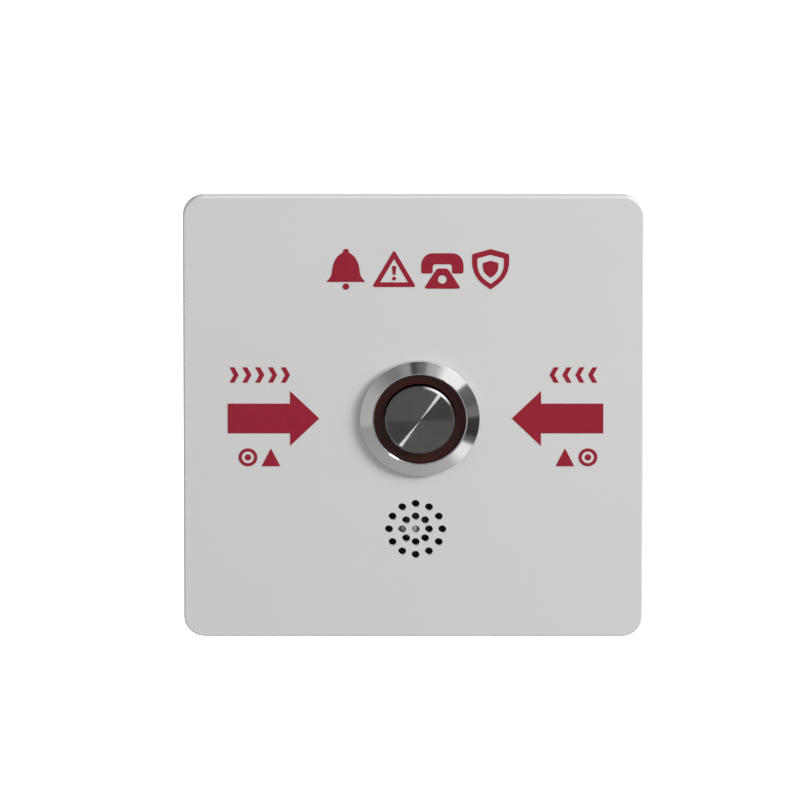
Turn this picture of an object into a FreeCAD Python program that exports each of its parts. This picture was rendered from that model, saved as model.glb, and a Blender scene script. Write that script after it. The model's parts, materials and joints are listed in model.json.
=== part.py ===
import FreeCAD, Part
import math
import os
import re
import Sketcher
from FreeCAD import Placement, Rotation, Vector

# Wall-mounted panic button on a flush wall box, in millimetres.
# X runs to the right, Z up, and the front faces -Y. The wall is the plane Y = 0, and the origin is
# the middle of the two wall screws. Every "depth" below is a distance in front of the wall, along -Y.
SIZES = {
    # front cover
    "panel_width": 86.0,
    "panel_height": 86.0,
    "panel_corner": 4.0,
    "panel_thick": 2.0,
    "panel_front": 11.0,
    "panel_ease": 0.35,
    "skirt_inset": 3.0,
    "skirt_wall": 1.5,
    "skirt_corner": 3.0,
    "skirt_inside_corner": 1.0,
    "gasket_thick": 0.8,
    "hole_gap": 0.1,
    "fit_gap": 0.05,
    "edge_gap": 0.3,
    # sound holes in the panel, over the speaker
    "speaker_x": 0.4,
    "sound_hole": 1.5,
    "inner_ring": 2.5,
    "outer_ring": 5.0,
    "inner_count": 8,
    "outer_count": 12,
    "sound_wall": 0.8,
    "sound_margin": 0.4,
    # bosses and screws that carry the rear housing
    "boss_width": 6.0,
    "boss_space_x": 36.0,
    "housing_seat": 4.0,
    "housing_screw": 3.0,
    "housing_head": 5.0,
    "housing_head_thick": 1.8,
    "housing_thread": 5.0,
    "blind_depth": 5.5,
    "socket_share": 0.5,
    # mounting frame on the wall box
    "frame_thick": 1.5,
    "frame_corner": 2.5,
    "opening_gap": 1.5,
    "wall_screw_space": 60.0,
    "slot_width": 4.5,
    "slot_length": 7.0,
    "hook_space": 44.0,
    "hook_width": 8.0,
    "rib_depth": 2.0,
    "rib_thick": 1.5,
    "rib_height": 2.0,
    "ear_gap": 0.6,
    "ear_reach": 7.0,
    "lock_depth": 4.5,
    "lock_screw": 3.0,
    "lock_length": 5.5,
    "lock_head": 5.5,
    "lock_head_thick": 1.9,
    "lock_clearance": 0.2,
    # rear housing and its circuit board
    "tub_width": 46.0,
    "tub_back": 30.0,
    "tub_wall": 2.0,
    "tub_corner": 3.0,
    "flange_gap": 0.5,
    "flange_thick": 2.0,
    "head_room": 0.4,
    "pillar_width": 5.0,
    "pillar_height": 8.4,
    "pillar_inset": 3.0,
    "board_thick": 1.6,
    "board_screw": 2.2,
    "board_head": 4.2,
    "board_head_thick": 1.5,
    "board_thread": 5.0,
    # parts on the circuit board
    "way_count": 4,
    "way_pitch": 5.0,
    "terminal_deep": 8.5,
    "terminal_tall": 10.0,
    "window_gap": 1.0,
    "wire_hole": 3.0,
    "wire_hole_deep": 6.0,
    "wire_hole_depth": 2.4,
    "clamp_screw_width": 3.2,
    "clamp_well_deep": 6.0,
    "clamp_screw_long": 5.0,
    "clamp_slot_deep": 0.8,
    "clamp_slot_wide": 0.6,
    "relay_x": -8.0,
    "relay_width": 15.0,
    "relay_deep": 10.0,
    "relay_tall": 11.0,
    "relay_ease": 0.5,
    "can_x": 8.0,
    "can_width": 6.3,
    "can_tall": 11.0,
    "small_can_x": 15.0,
    "small_can_drop": 3.0,
    "small_can_width": 5.0,
    "small_can_tall": 8.0,
    "chip_x": -14.0,
    "chip_z": -10.0,
    "chip_width": 5.0,
    "chip_long": 10.0,
    "chip_tall": 1.6,
    "leg_count": 7,
    "leg_pitch": 1.27,
    "leg_width": 0.45,
    "leg_reach": 1.1,
    "leg_thick": 0.3,
    # push button: bezel, nut and washer
    "button_x": 1.2,
    "head_width": 22.4,
    "rim_height": 1.0,
    "head_height": 1.5,
    "nose_width": 17.8,
    "nose_ease": 0.1,
    "barrel_width": 19.0,
    "barrel_length": 18.0,
    "barrel_bore": 16.0,
    "ring_seat": 3.5,
    "seal_start": 0.2,
    "seal_end": 0.7,
    "seal_thick": 0.6,
    "washer_reach": 0.3,
    "washer_thick": 0.8,
    "nut_inset": 0.2,
    "nut_thick": 4.0,
    # push button: light ring and lamp board
    "ring_width": 17.1,
    "ring_inside": 13.5,
    "ring_sink": 1.0,
    "guide_length": 5.5,
    "lamp_board_inside": 10.4,
    "lamp_board_thick": 1.0,
    "lamp_count": 4,
    "lamp_circle": 13.0,
    "lamp_size": 1.6,
    "lamp_tall": 0.7,
    "lamp_pin": 0.9,
    "lamp_pin_circle": 13.4,
    # push button: cap, plunger and spring
    "press_travel": 1.8,
    "cap_width": 13.2,
    "cap_rise": 0.7,
    "cap_thick": 3.0,
    "cap_chamfer": 0.5,
    "cap_recess": 1.5,
    "plunger_width": 6.0,
    "clip_groove": 0.5,
    "clip_width": 8.0,
    "clip_thick": 0.5,
    "clip_gap": 0.3,
    "shoulder_length": 1.5,
    "spigot_width": 3.0,
    "spigot_length": 1.2,
    "spring_length": 8.8,
    "spring_coil": 8.2,
    "spring_wire": 0.7,
    "spring_sides": 10,
    "spring_turns": 6,
    # push button: switch
    "switch_wall": 2.5,
    "seal_recess": 1.2,
    "lip_seal_width": 7.2,
    "lip_seal_thick": 1.1,
    "switch_flange_width": 18.0,
    "switch_flange_thick": 2.0,
    "cavity_width": 11.0,
    "base_thick": 4.0,
    "base_spigot": 1.4,
    "contact_length": 9.0,
    "contact_width": 2.4,
    "contact_thick": 0.4,
    "contact_gap": 0.15,
    "post_space": 7.2,
    "post_width": 1.6,
    "pin_width": 1.0,
    "pin_past_board": 0.6,
    # speaker
    "foam_thick": 0.4,
    "film_thick": 0.2,
    "speaker_width": 16.0,
    "basket_deep": 3.2,
    "basket_wall": 1.0,
    "basket_floor": 0.8,
    "dome_width": 6.6,
    "dome_rise": 1.75,
    "shoulder_width": 5.2,
    "shoulder_share": 0.85,
    "trough_width": 8.0,
    "trough_deep": 0.45,
    "coil_outside": 7.4,
    "coil_inside": 6.8,
    "coil_length": 2.0,
    "magnet_width": 6.2,
    "magnet_thick": 1.4,
    "pot_width": 9.0,
    "pot_wall": 0.6,
    "pot_height": 1.8,
    "pot_flange_width": 10.4,
    "pot_flange_thick": 0.8,
    "strap_thick": 0.8,
    "strap_width": 4.0,
    "strap_end": 2.5,
    "strap_screw_space": 23.0,
    "strap_boss": 4.5,
    "strap_screw": 2.2,
    "strap_head": 4.0,
    "strap_head_thick": 1.3,
    "strap_thread": 3.0,
    "speaker_pin": 0.8,
    "speaker_pin_space": 8.4,
    "speaker_pin_up": 5.2,
    # print on the panel
    "ink_thick": 0.06,
    "arrow_x": 0.4,
    "arrow_z": -0.2,
    "arrow_tip": 18.0,
    "arrow_length": 17.1,
    "arrow_head": 5.45,
    "arrow_shaft": 5.8,
    "arrow_wings": 10.7,
    "symbol_row_x": 0.9,
    "symbol_row_z": 28.9,
    "symbol_size": 8.2,
    "symbol_pitch": 9.0,
    "chevron_height": 3.0,
    "chevron_length": 1.7,
    "chevron_stroke": 0.9,
    "chevron_pitch": 2.4,
    "left_chevrons_x": -28.7,
    "left_chevrons": 5,
    "right_chevrons_x": 29.9,
    "right_chevrons": 4,
    "chevrons_z": 8.3,
    "mark_size": 3.5,
    "mark_space": 4.3,
    "left_marks_x": -28.8,
    "right_marks_x": 30.5,
    "marks_z": -7.8,
    "mark_stroke": 0.6,
}

# Sizes and depths that several pieces share. The speaker lies midway between the button's washer
# and the tub's floor wall, and the relay midway between the switch and the tub's top wall.
PANEL_BACK = "(panel_front - panel_thick)"
SKIRT_WIDTH = "(panel_width - 2 * skirt_inset)"
SKIRT_HEIGHT = "(panel_height - 2 * skirt_inset)"
SKIRT_INSIDE_WIDTH = "(%s - 2 * skirt_wall)" % SKIRT_WIDTH
SKIRT_INSIDE_HEIGHT = "(%s - 2 * skirt_wall)" % SKIRT_HEIGHT
FRAME_TOP = "(%s / 2 - edge_gap)" % SKIRT_INSIDE_HEIGHT
RIB_FRONT = "(rib_depth + rib_thick)"
RIB_BOTTOM = "(%s / 2 - rib_height)" % SKIRT_INSIDE_HEIGHT
FLANGE_HEIGHT = "(2 * (%s - edge_gap - frame_thick - flange_gap))" % RIB_BOTTOM
BOSS_SPACE_Z = "(%s - boss_width)" % FLANGE_HEIGHT
TUB_HEIGHT = "(%s - housing_head - 2 * head_room)" % BOSS_SPACE_Z
TUB_INSIDE_WIDTH = "(tub_width - 2 * tub_wall)"
TUB_INSIDE_HEIGHT = "(%s - 2 * tub_wall)" % TUB_HEIGHT
PILLAR_SPACE_X = "(%s - 2 * pillar_inset)" % TUB_INSIDE_WIDTH
PILLAR_SPACE_Z = "(%s - 2 * pillar_inset)" % TUB_INSIDE_HEIGHT
WASHER_WIDTH = "(head_width + 2 * washer_reach)"
NUT_FLATS = "(head_width - 2 * nut_inset)"
SEAL_INSIDE = "(barrel_width + seal_start * (head_width - barrel_width))"
SEAL_OUTSIDE = "(barrel_width + seal_end * (head_width - barrel_width))"
SPEAKER_Z = "(0 - (%s + speaker_width + %s - strap_width) / 4)" % (WASHER_WIDTH, TUB_INSIDE_HEIGHT)
RELAY_Z = "((switch_flange_width + %s) / 4)" % TUB_INSIDE_HEIGHT
BOARD_BACK = "(tub_wall + pillar_height - tub_back)"
BOARD_FRONT = "(%s + board_thick)" % BOARD_BACK
BEZEL_FRONT = "(panel_front + head_height)"
BARREL_END = "(panel_front - barrel_length)"
RING_SEAT = "(%s - ring_seat)" % BEZEL_FRONT
GUIDE_END = "(%s - guide_length)" % RING_SEAT
CAP_FRONT = "(%s + cap_rise)" % BEZEL_FRONT
CAP_BACK = "(%s - cap_thick)" % CAP_FRONT
SWITCH_FRONT = "(%s - spring_length)" % CAP_BACK
SWITCH_INSIDE = "(%s - switch_wall)" % SWITCH_FRONT
SWITCH_BACK = "(%s - switch_flange_thick)" % BARREL_END
LAMP_BOARD_FRONT = "(%s + lamp_board_thick)" % SWITCH_FRONT
CLIP_FRONT = "(%s - clip_gap)" % SWITCH_INSIDE
CLIP_BACK = "(%s - clip_thick)" % CLIP_FRONT
CONTACT_FRONT = "(%s - shoulder_length)" % CLIP_BACK
CONTACT_BACK = "(%s - contact_thick)" % CONTACT_FRONT
POST_FRONT = "(%s - press_travel - contact_gap)" % CONTACT_BACK
BASE_FRONT = "(%s + base_spigot)" % SWITCH_BACK
PIN_END = "(%s - pin_past_board)" % BOARD_BACK
FOAM_BACK = "(%s - foam_thick)" % PANEL_BACK
BASKET_FRONT = "(%s - film_thick)" % FOAM_BACK
BASKET_BACK = "(%s - basket_deep)" % BASKET_FRONT
POT_BACK = "(%s - pot_flange_thick)" % BASKET_BACK
STRAP_BACK = "(%s - strap_thick)" % POT_BACK
TERMINAL_BACK = "(%s - terminal_tall)" % BOARD_BACK
TERMINAL_BOTTOM = "(tub_wall + edge_gap - %s / 2)" % TUB_HEIGHT
TERMINAL_TOP = "(%s + terminal_deep)" % TERMINAL_BOTTOM

doc = FreeCAD.newDocument("panic_button")
sizes = doc.addObject("Spreadsheet::Sheet", "Sizes")
for row, (name, size) in enumerate(SIZES.items(), start=1):
    sizes.set("A%d" % row, name)
    sizes.set("B%d" % row, str(size))
    sizes.setAlias("B%d" % row, name)
doc.recompute()

pieces = []


def formula(text):
    """Point each size's name in a formula at its cell of the sheet."""
    return re.sub(r"[a-z]\w+", lambda word: cell(word.group()), str(text))


def cell(word):
    """Name the cell that a word stands for, if it is a size."""
    return "Sizes." + word if word in SIZES else word


def number(text):
    """Work out what a formula comes to now."""
    return float(sizes.evalExpression(str(text)))


def tie(thing, slot, text):
    """Make a property of a feature follow a formula."""
    thing.setExpression(slot, formula(text))


def body(name, across="0", up="0"):
    """Start a piece whose own axis stands at a point of the wall."""
    part = doc.addObject("PartDesign::Body", name)
    part.Label = name
    tie(part, "Placement.Base.x", across)
    tie(part, "Placement.Base.z", up)
    pieces.append(part)
    return part


def plane_sketch(part, name, role):
    """Add a sketch on one of the piece's own planes."""
    sketch = part.newObject("Sketcher::SketchObject", name)
    plane = next(item for item in part.Origin.OriginFeatures if item.Role == role)
    sketch.AttachmentSupport = [(plane, "")]
    sketch.MapMode = "FlatFace"
    return sketch


def front_sketch(part, name, depth, across="0", up="0", turn=0):
    """Add a sketch that lies parallel to the wall, at a depth in front of it."""
    sketch = plane_sketch(part, name, "XZ_Plane")
    sketch.AttachmentOffset = Placement(Vector(0, 0, 0), Rotation(Vector(0, 0, 1), turn))
    tie(sketch, ".AttachmentOffset.Base.x", across)
    tie(sketch, ".AttachmentOffset.Base.y", up)
    tie(sketch, ".AttachmentOffset.Base.z", depth)
    return sketch


def level_sketch(part, name, up):
    """Add a level sketch, seen from above, at a height."""
    sketch = plane_sketch(part, name, "XY_Plane")
    tie(sketch, ".AttachmentOffset.Base.z", up)
    return sketch


def limit(sketch, kind, where, text):
    """Add a sketch constraint whose size follows a formula."""
    index = sketch.addConstraint(Sketcher.Constraint(kind, *where, number(text)))
    tie(sketch, "Constraints[%d]" % index, text)


def hold(sketch, edge, point, across, up):
    """Fix a point of an edge in the sketch: on an axis, or at a distance from it."""
    if across == "0":
        sketch.addConstraint(Sketcher.Constraint("PointOnObject", edge, point, -2))
    else:
        limit(sketch, "DistanceX", (-1, 1, edge, point), across)
    if up == "0":
        sketch.addConstraint(Sketcher.Constraint("PointOnObject", edge, point, -1))
    else:
        limit(sketch, "DistanceY", (-1, 1, edge, point), up)


def outline(sketch, points):
    """Draw a closed outline of straight lines through the points."""
    first = sketch.GeometryCount
    count = len(points)
    corners = [Vector(number(across), number(up), 0) for across, up in points]
    for step in range(count):
        sketch.addGeometry(Part.LineSegment(corners[step], corners[(step + 1) % count]), False)
    for step in range(count):
        following = first + (step + 1) % count
        sketch.addConstraint(Sketcher.Constraint("Coincident", first + step, 2, following, 1))
    for step, (across, up) in enumerate(points):
        hold(sketch, first + step, 1, across, up)


def block(sketch, left, right, low, high):
    """Draw an upright rectangle."""
    outline(sketch, [(left, low), (right, low), (right, high), (left, high)])


def circle(sketch, across, up, width):
    """Draw a circle of a given diameter."""
    centre = Vector(number(across), number(up), 0)
    edge = sketch.addGeometry(Part.Circle(centre, Vector(0, 0, 1), number(width) / 2), False)
    hold(sketch, edge, 3, across, up)
    limit(sketch, "Diameter", (edge,), width)


def rounded(sketch, width, height, corner):
    """Draw a rectangle with round corners about the sketch's middle."""
    first = sketch.GeometryCount
    wide = number(width) / 2
    tall = number(height) / 2
    bend = number(corner)
    quarter = math.pi / 2
    places = [(1, -1), (1, 1), (-1, 1), (-1, -1)]
    for step, (side, end) in enumerate(places):
        before = places[step - 1]
        start = Vector(before[0] * (wide - bend), before[1] * tall, 0)
        stop = Vector(side * (wide - bend), end * tall, 0)
        if step % 2:
            start = Vector(before[0] * wide, before[1] * (tall - bend), 0)
            stop = Vector(side * wide, end * (tall - bend), 0)
        sketch.addGeometry(Part.LineSegment(start, stop), False)
        middle = Vector(side * (wide - bend), end * (tall - bend), 0)
        bow = Part.Circle(middle, Vector(0, 0, 1), bend)
        sketch.addGeometry(Part.ArcOfCircle(bow, (step - 1) * quarter, step * quarter), False)
    for step in range(8):
        following = first + (step + 1) % 8
        sketch.addConstraint(Sketcher.Constraint("Tangent", first + step, 2, following, 1))
    for step, (side, end) in enumerate(places):
        arc = first + 2 * step + 1
        limit(sketch, "DistanceX", (-1, 1, arc, 3), "%d * (%s / 2 - %s)" % (side, width, corner))
        limit(sketch, "DistanceY", (-1, 1, arc, 3), "%d * (%s / 2 - %s)" % (end, height, corner))
        limit(sketch, "Radius", (arc,), corner)


def hexagon(sketch, flats):
    """Draw a hexagon whose flats face up and down."""
    reach = "%s / 2 / cos(30)" % flats
    half = "%s / 2" % reach
    flat = "%s / 2" % flats
    outline(sketch, [(reach, "0"), (half, flat), ("-" + half, flat),
                     ("-" + reach, "0"), ("-" + half, "-" + flat), (half, "-" + flat)])


def pad(part, sketch, length):
    """Grow the sketch towards the front, or upwards from a level sketch."""
    feature = part.newObject("PartDesign::Pad", sketch.Name + "_pad")
    feature.Profile = sketch
    tie(feature, "Length", length)
    return feature


def pocket(part, sketch, length):
    """Cut the sketch towards the wall, or downwards from a level sketch."""
    feature = part.newObject("PartDesign::Pocket", sketch.Name + "_cut")
    feature.Profile = sketch
    tie(feature, "Length", length)
    return feature


def ring_of(part, feature, sketch, count):
    """Repeat a feature evenly around the sketch's own middle."""
    pattern = part.newObject("PartDesign::PolarPattern", feature.Name + "_ring")
    pattern.Originals = [feature]
    pattern.Axis = (sketch, ["N_Axis"])
    pattern.Angle = 360
    tie(pattern, "Occurrences", count)
    part.Tip = pattern
    return pattern


def row_of(part, feature, sketch, pitch, count):
    """Repeat a feature along the sketch's own horizontal axis."""
    pattern = part.newObject("PartDesign::LinearPattern", feature.Name + "_row")
    pattern.Originals = [feature]
    pattern.Direction = (sketch, ["H_Axis"])
    tie(pattern, "Length", "%s * (%s - 1)" % (pitch, count))
    tie(pattern, "Occurrences", count)
    part.Tip = pattern
    return pattern


def turned(name, section, across="0", up="0"):
    """Turn a section of (radius, depth) points about an axis square to the wall."""
    part = body(name, across, up)
    sketch = plane_sketch(part, name + "_section", "XY_Plane")
    outline(sketch, [(radius, "-(%s)" % depth) for radius, depth in section])
    feature = part.newObject("PartDesign::Revolution", name + "_turn")
    feature.Profile = sketch
    feature.ReferenceAxis = (sketch, ["V_Axis"])
    feature.Angle = 360
    doc.recompute()
    return part


def ease(part, kind, size, wanted):
    """Round or chamfer the edges of the piece that a test picks."""
    doc.recompute()
    base = part.Tip
    edges = ["Edge%d" % count for count, edge in enumerate(base.Shape.Edges, start=1) if wanted(edge)]
    feature = part.newObject("PartDesign::" + kind, part.Name + "_" + kind.lower())
    feature.Base = (base, edges)
    tie(feature, "Radius" if kind == "Fillet" else "Size", size)
    part.Tip = feature
    return feature


def lies_at(edge, depth):
    """Tell whether an edge lies in the plane at a depth."""
    box = edge.BoundBox
    return abs(box.YMin + number(depth)) < 1e-5 and abs(box.YMax + number(depth)) < 1e-5


def corners_of(space_x, space_z):
    """The four corners of a rectangle about the middle."""
    return [("%s / %d" % (space_x, side), "%s / %d" % (space_z, end))
            for side in (2, -2) for end in (2, -2)]


def screws(name, places, head, shank, socket):
    """Screws that point to the front: head and shank are (width, seat depth, length)."""
    part = body(name)
    low = "(%s - %s)" % head[1:]
    heads = front_sketch(part, name + "_heads", low)
    for across, up in places:
        circle(heads, across, up, head[0])
    pad(part, heads, head[2])
    shanks = front_sketch(part, name + "_shanks", shank[1])
    for across, up in places:
        circle(shanks, across, up, shank[0])
    pad(part, shanks, shank[2])
    sockets = front_sketch(part, name + "_sockets", "%s + %s * socket_share" % (low, head[2]))
    for across, up in places:
        circle(sockets, across, up, socket)
    pocket(part, sockets, "%s * socket_share" % head[2])
    return part


# Front cover: one die-cast plate with a hidden skirt, bosses and catches behind it

def front_cover():
    """The plate that shows, with the skirt that stands on the wall behind it."""
    part = body("front_cover")
    plate = front_sketch(part, "plate", PANEL_BACK)
    rounded(plate, "panel_width", "panel_height", "panel_corner")
    pad(part, plate, "panel_thick")
    ease(part, "Fillet", "panel_ease", lambda edge: lies_at(edge, "panel_front"))
    skirt = front_sketch(part, "skirt", "gasket_thick")
    rounded(skirt, SKIRT_WIDTH, SKIRT_HEIGHT, "skirt_corner")
    rounded(skirt, SKIRT_INSIDE_WIDTH, SKIRT_INSIDE_HEIGHT, "skirt_inside_corner")
    pad(part, skirt, "%s - gasket_thick" % PANEL_BACK)

    bosses = front_sketch(part, "housing_bosses", "housing_seat")
    pilots = front_sketch(part, "housing_pilots", "housing_seat + blind_depth")
    for across, up in corners_of("boss_space_x", BOSS_SPACE_Z):
        circle(bosses, across, up, "boss_width")
        circle(pilots, across, up, "housing_screw + 2 * fit_gap")
    pad(part, bosses, "%s - housing_seat" % PANEL_BACK)
    speaker = ("speaker_x", SPEAKER_Z)
    strap_bosses = front_sketch(part, "strap_bosses", POT_BACK, *speaker)
    strap_pilots = front_sketch(part, "strap_pilots", "%s + strap_thread" % POT_BACK, *speaker)
    for side in (2, -2):
        circle(strap_bosses, "strap_screw_space / %d" % side, "0", "strap_boss")
        circle(strap_pilots, "strap_screw_space / %d" % side, "0", "strap_screw + 2 * fit_gap")
    pad(part, strap_bosses, "%s - %s" % (PANEL_BACK, POT_BACK))
    ribs = front_sketch(part, "catch_ribs", "rib_depth")
    for side in (1, -1):
        middle = "%d * hook_space / 2" % side
        block(ribs, "%s - hook_width / 2" % middle, "%s + hook_width / 2" % middle,
              RIB_BOTTOM, "(%s + rib_height + skirt_wall / 2)" % RIB_BOTTOM)
    pad(part, ribs, "rib_thick")
    pocket(part, pilots, "blind_depth")
    pocket(part, strap_pilots, "strap_thread")

    opening = front_sketch(part, "button_hole", "panel_front", "button_x")
    circle(opening, "0", "0", "barrel_width + 2 * hole_gap")
    pocket(part, opening, "panel_thick")
    recess = front_sketch(part, "sound_recess", PANEL_BACK, *speaker)
    circle(recess, "0", "0", "2 * (outer_ring + sound_margin) + sound_hole")
    pocket(part, recess, "panel_thick - sound_wall").Reversed = True
    middle_hole = front_sketch(part, "middle_hole", "panel_front", *speaker)
    circle(middle_hole, "0", "0", "sound_hole")
    pocket(part, middle_hole, "panel_thick")
    for label in ("inner", "outer"):
        sketch = front_sketch(part, label + "_hole", "panel_front", *speaker)
        circle(sketch, label + "_ring", "0", "sound_hole")
        hole = pocket(part, sketch, "panel_thick")
        ring_of(part, hole, sketch, label + "_count")

    locks = level_sketch(part, "lock_holes", "skirt_wall - %s / 2" % SKIRT_HEIGHT)
    for side in (2, -2):
        circle(locks, "hook_space / %d" % side, "-lock_depth", "lock_screw + 2 * lock_clearance")
    pocket(part, locks, "skirt_wall")


def wall_gasket():
    """A foam strip between the skirt and the wall."""
    part = body("wall_gasket")
    strip = front_sketch(part, "strip", "0")
    rounded(strip, SKIRT_WIDTH, SKIRT_HEIGHT, "skirt_corner")
    rounded(strip, SKIRT_INSIDE_WIDTH, SKIRT_INSIDE_HEIGHT, "skirt_inside_corner")
    pad(part, strip, "gasket_thick")


# Mounting frame: a folded sheet that the wall screws hold, with two hooks and two ears

def mounting_frame():
    """The sheet on the wall box, with the hooks and ears that carry the cover."""
    part = body("mounting_frame")
    sheet = front_sketch(part, "sheet", "0")
    rounded(sheet, "(%s - 2 * edge_gap)" % SKIRT_INSIDE_WIDTH, "2 * %s" % FRAME_TOP, "frame_corner")
    rounded(sheet, "(tub_width + 2 * opening_gap)", FLANGE_HEIGHT, "frame_corner")
    pad(part, sheet, "frame_thick")
    tabs = front_sketch(part, "hook_tabs", "frame_thick")
    lips = front_sketch(part, "hook_lips", "%s + edge_gap" % RIB_FRONT)
    ears = front_sketch(part, "ears", "frame_thick")
    hook_top = "(%s - edge_gap)" % RIB_BOTTOM
    ear_bottom = "(ear_gap - %s / 2)" % SKIRT_INSIDE_HEIGHT
    for side in (1, -1):
        left = "%d * hook_space / 2 - hook_width / 2" % side
        right = "%d * hook_space / 2 + hook_width / 2" % side
        block(tabs, left, right, "%s - frame_thick" % hook_top, hook_top)
        block(lips, left, right, "%s - frame_thick" % hook_top, FRAME_TOP)
        block(ears, left, right, ear_bottom, "%s + frame_thick" % ear_bottom)
    pad(part, tabs, "%s + edge_gap + frame_thick / 2 - frame_thick" % RIB_FRONT)
    pad(part, lips, "frame_thick")
    pad(part, ears, "ear_reach - frame_thick")
    slots = front_sketch(part, "wall_slots", "frame_thick")
    for side in (1, -1):
        slot(slots, "%d * wall_screw_space / 2" % side, "slot_length", "slot_width")
    pocket(part, slots, "frame_thick")
    taps = level_sketch(part, "ear_holes", "%s + frame_thick" % ear_bottom)
    for side in (2, -2):
        circle(taps, "hook_space / %d" % side, "-lock_depth", "lock_screw + 2 * fit_gap")
    pocket(part, taps, "frame_thick")


def slot(sketch, across, length, width):
    """Draw a level slot with round ends on the sketch's horizontal axis."""
    first = sketch.GeometryCount
    middle = number(across)
    run = (number(length) - number(width)) / 2
    bend = number(width) / 2
    quarter = math.pi / 2
    right = Vector(middle + run, 0, 0)
    left = Vector(middle - run, 0, 0)
    side = Vector(0, bend, 0)
    out = Vector(0, 0, 1)
    sketch.addGeometry(Part.LineSegment(left - side, right - side), False)
    sketch.addGeometry(Part.ArcOfCircle(Part.Circle(right, out, bend), -quarter, quarter), False)
    sketch.addGeometry(Part.LineSegment(right + side, left + side), False)
    sketch.addGeometry(Part.ArcOfCircle(Part.Circle(left, out, bend), quarter, 3 * quarter), False)
    for step in range(4):
        following = first + (step + 1) % 4
        sketch.addConstraint(Sketcher.Constraint("Tangent", first + step, 2, following, 1))
    for arc, sign in ((first + 1, "+"), (first + 3, "-")):
        hold(sketch, arc, 3, "%s %s (%s - %s) / 2" % (across, sign, length, width), "0")
    limit(sketch, "Diameter", (first + 1,), width)


def security_screws():
    """Two screws that go up through the skirt into the frame's ears."""
    part = body("security_screws")
    seat = "(-%s / 2)" % SKIRT_HEIGHT
    heads = level_sketch(part, "lock_heads", "%s - lock_head_thick" % seat)
    shanks = level_sketch(part, "lock_shanks", seat)
    sockets = level_sketch(part, "lock_sockets", "%s - lock_head_thick * socket_share" % seat)
    for side in (2, -2):
        circle(heads, "hook_space / %d" % side, "-lock_depth", "lock_head")
        circle(shanks, "hook_space / %d" % side, "-lock_depth", "lock_screw")
        circle(sockets, "hook_space / %d" % side, "-lock_depth", "lock_screw * socket_share")
    pad(part, heads, "lock_head_thick")
    pad(part, shanks, "lock_length")
    pocket(part, sockets, "lock_head_thick * socket_share")


# Rear housing, circuit board and what the board carries

def rear_housing():
    """The moulded tub that hangs into the wall box."""
    part = body("rear_housing")
    flange_back = "(housing_seat - flange_thick)"
    flange = front_sketch(part, "flange", flange_back)
    rounded(flange, "tub_width", FLANGE_HEIGHT, "tub_corner")
    pad(part, flange, "flange_thick")
    walls = front_sketch(part, "tub", "-tub_back")
    rounded(walls, "tub_width", TUB_HEIGHT, "tub_corner")
    pad(part, walls, "%s + tub_back" % flange_back)
    inside = front_sketch(part, "tub_inside", "housing_seat")
    rounded(inside, TUB_INSIDE_WIDTH, TUB_INSIDE_HEIGHT, "(tub_corner / 2)")
    pocket(part, inside, "housing_seat + tub_back - tub_wall")
    pillars = front_sketch(part, "pillars", "-tub_back + tub_wall / 2")
    pillar_holes = front_sketch(part, "pillar_holes", BOARD_BACK)
    for across, up in corners_of(PILLAR_SPACE_X, PILLAR_SPACE_Z):
        circle(pillars, across, up, "pillar_width")
        circle(pillar_holes, across, up, "board_screw + 2 * fit_gap")
    pad(part, pillars, "pillar_height + tub_wall / 2")
    pocket(part, pillar_holes, "board_thread")
    screw_holes = front_sketch(part, "flange_holes", "housing_seat")
    for across, up in corners_of("boss_space_x", BOSS_SPACE_Z):
        circle(screw_holes, across, up, "housing_screw + 2 * lock_clearance")
    pocket(part, screw_holes, "flange_thick")
    window = front_sketch(part, "terminal_window", BOARD_BACK)
    reach = "(way_count * way_pitch / 2 + window_gap)"
    window_bottom = "(0 - %s / 2 - window_gap)" % TUB_HEIGHT
    block(window, "-" + reach, reach, window_bottom, "%s + window_gap" % TERMINAL_TOP)
    pocket(part, window, "%s + tub_back" % BOARD_BACK)


def circuit_board():
    """The board on the housing's four pillars."""
    part = body("circuit_board")
    board = front_sketch(part, "board", BOARD_BACK)
    rounded(board, "(%s - 2 * edge_gap)" % TUB_INSIDE_WIDTH,
            "(%s - 2 * edge_gap)" % TUB_INSIDE_HEIGHT, "(tub_corner / 2)")
    for across, up in corners_of(PILLAR_SPACE_X, PILLAR_SPACE_Z):
        circle(board, across, up, "board_screw + 2 * lock_clearance")
    for side in (2, -2):
        circle(board, "button_x + post_space / %d" % side, "0", "pin_width + 2 * hole_gap")
        circle(board, "button_x", "lamp_pin_circle / %d" % side, "lamp_pin + 2 * hole_gap")
        circle(board, "speaker_x + speaker_pin_space / %d" % side, "%s + speaker_pin_up" % SPEAKER_Z,
               "speaker_pin + 2 * hole_gap")
    pad(part, board, "board_thick")


def board_screws():
    """Four screws that hold the board on the pillars."""
    part = body("board_screws")
    heads = front_sketch(part, "board_heads", BOARD_FRONT)
    shanks = front_sketch(part, "board_shanks", "%s - board_thread + fit_gap" % BOARD_BACK)
    sockets = front_sketch(part, "board_sockets", "%s + board_head_thick" % BOARD_FRONT)
    for across, up in corners_of(PILLAR_SPACE_X, PILLAR_SPACE_Z):
        circle(heads, across, up, "board_head")
        circle(shanks, across, up, "board_screw")
        circle(sockets, across, up, "board_screw * socket_share")
    pad(part, heads, "board_head_thick")
    pad(part, shanks, "board_thread - fit_gap + board_thick")
    pocket(part, sockets, "board_head_thick * socket_share")


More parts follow.
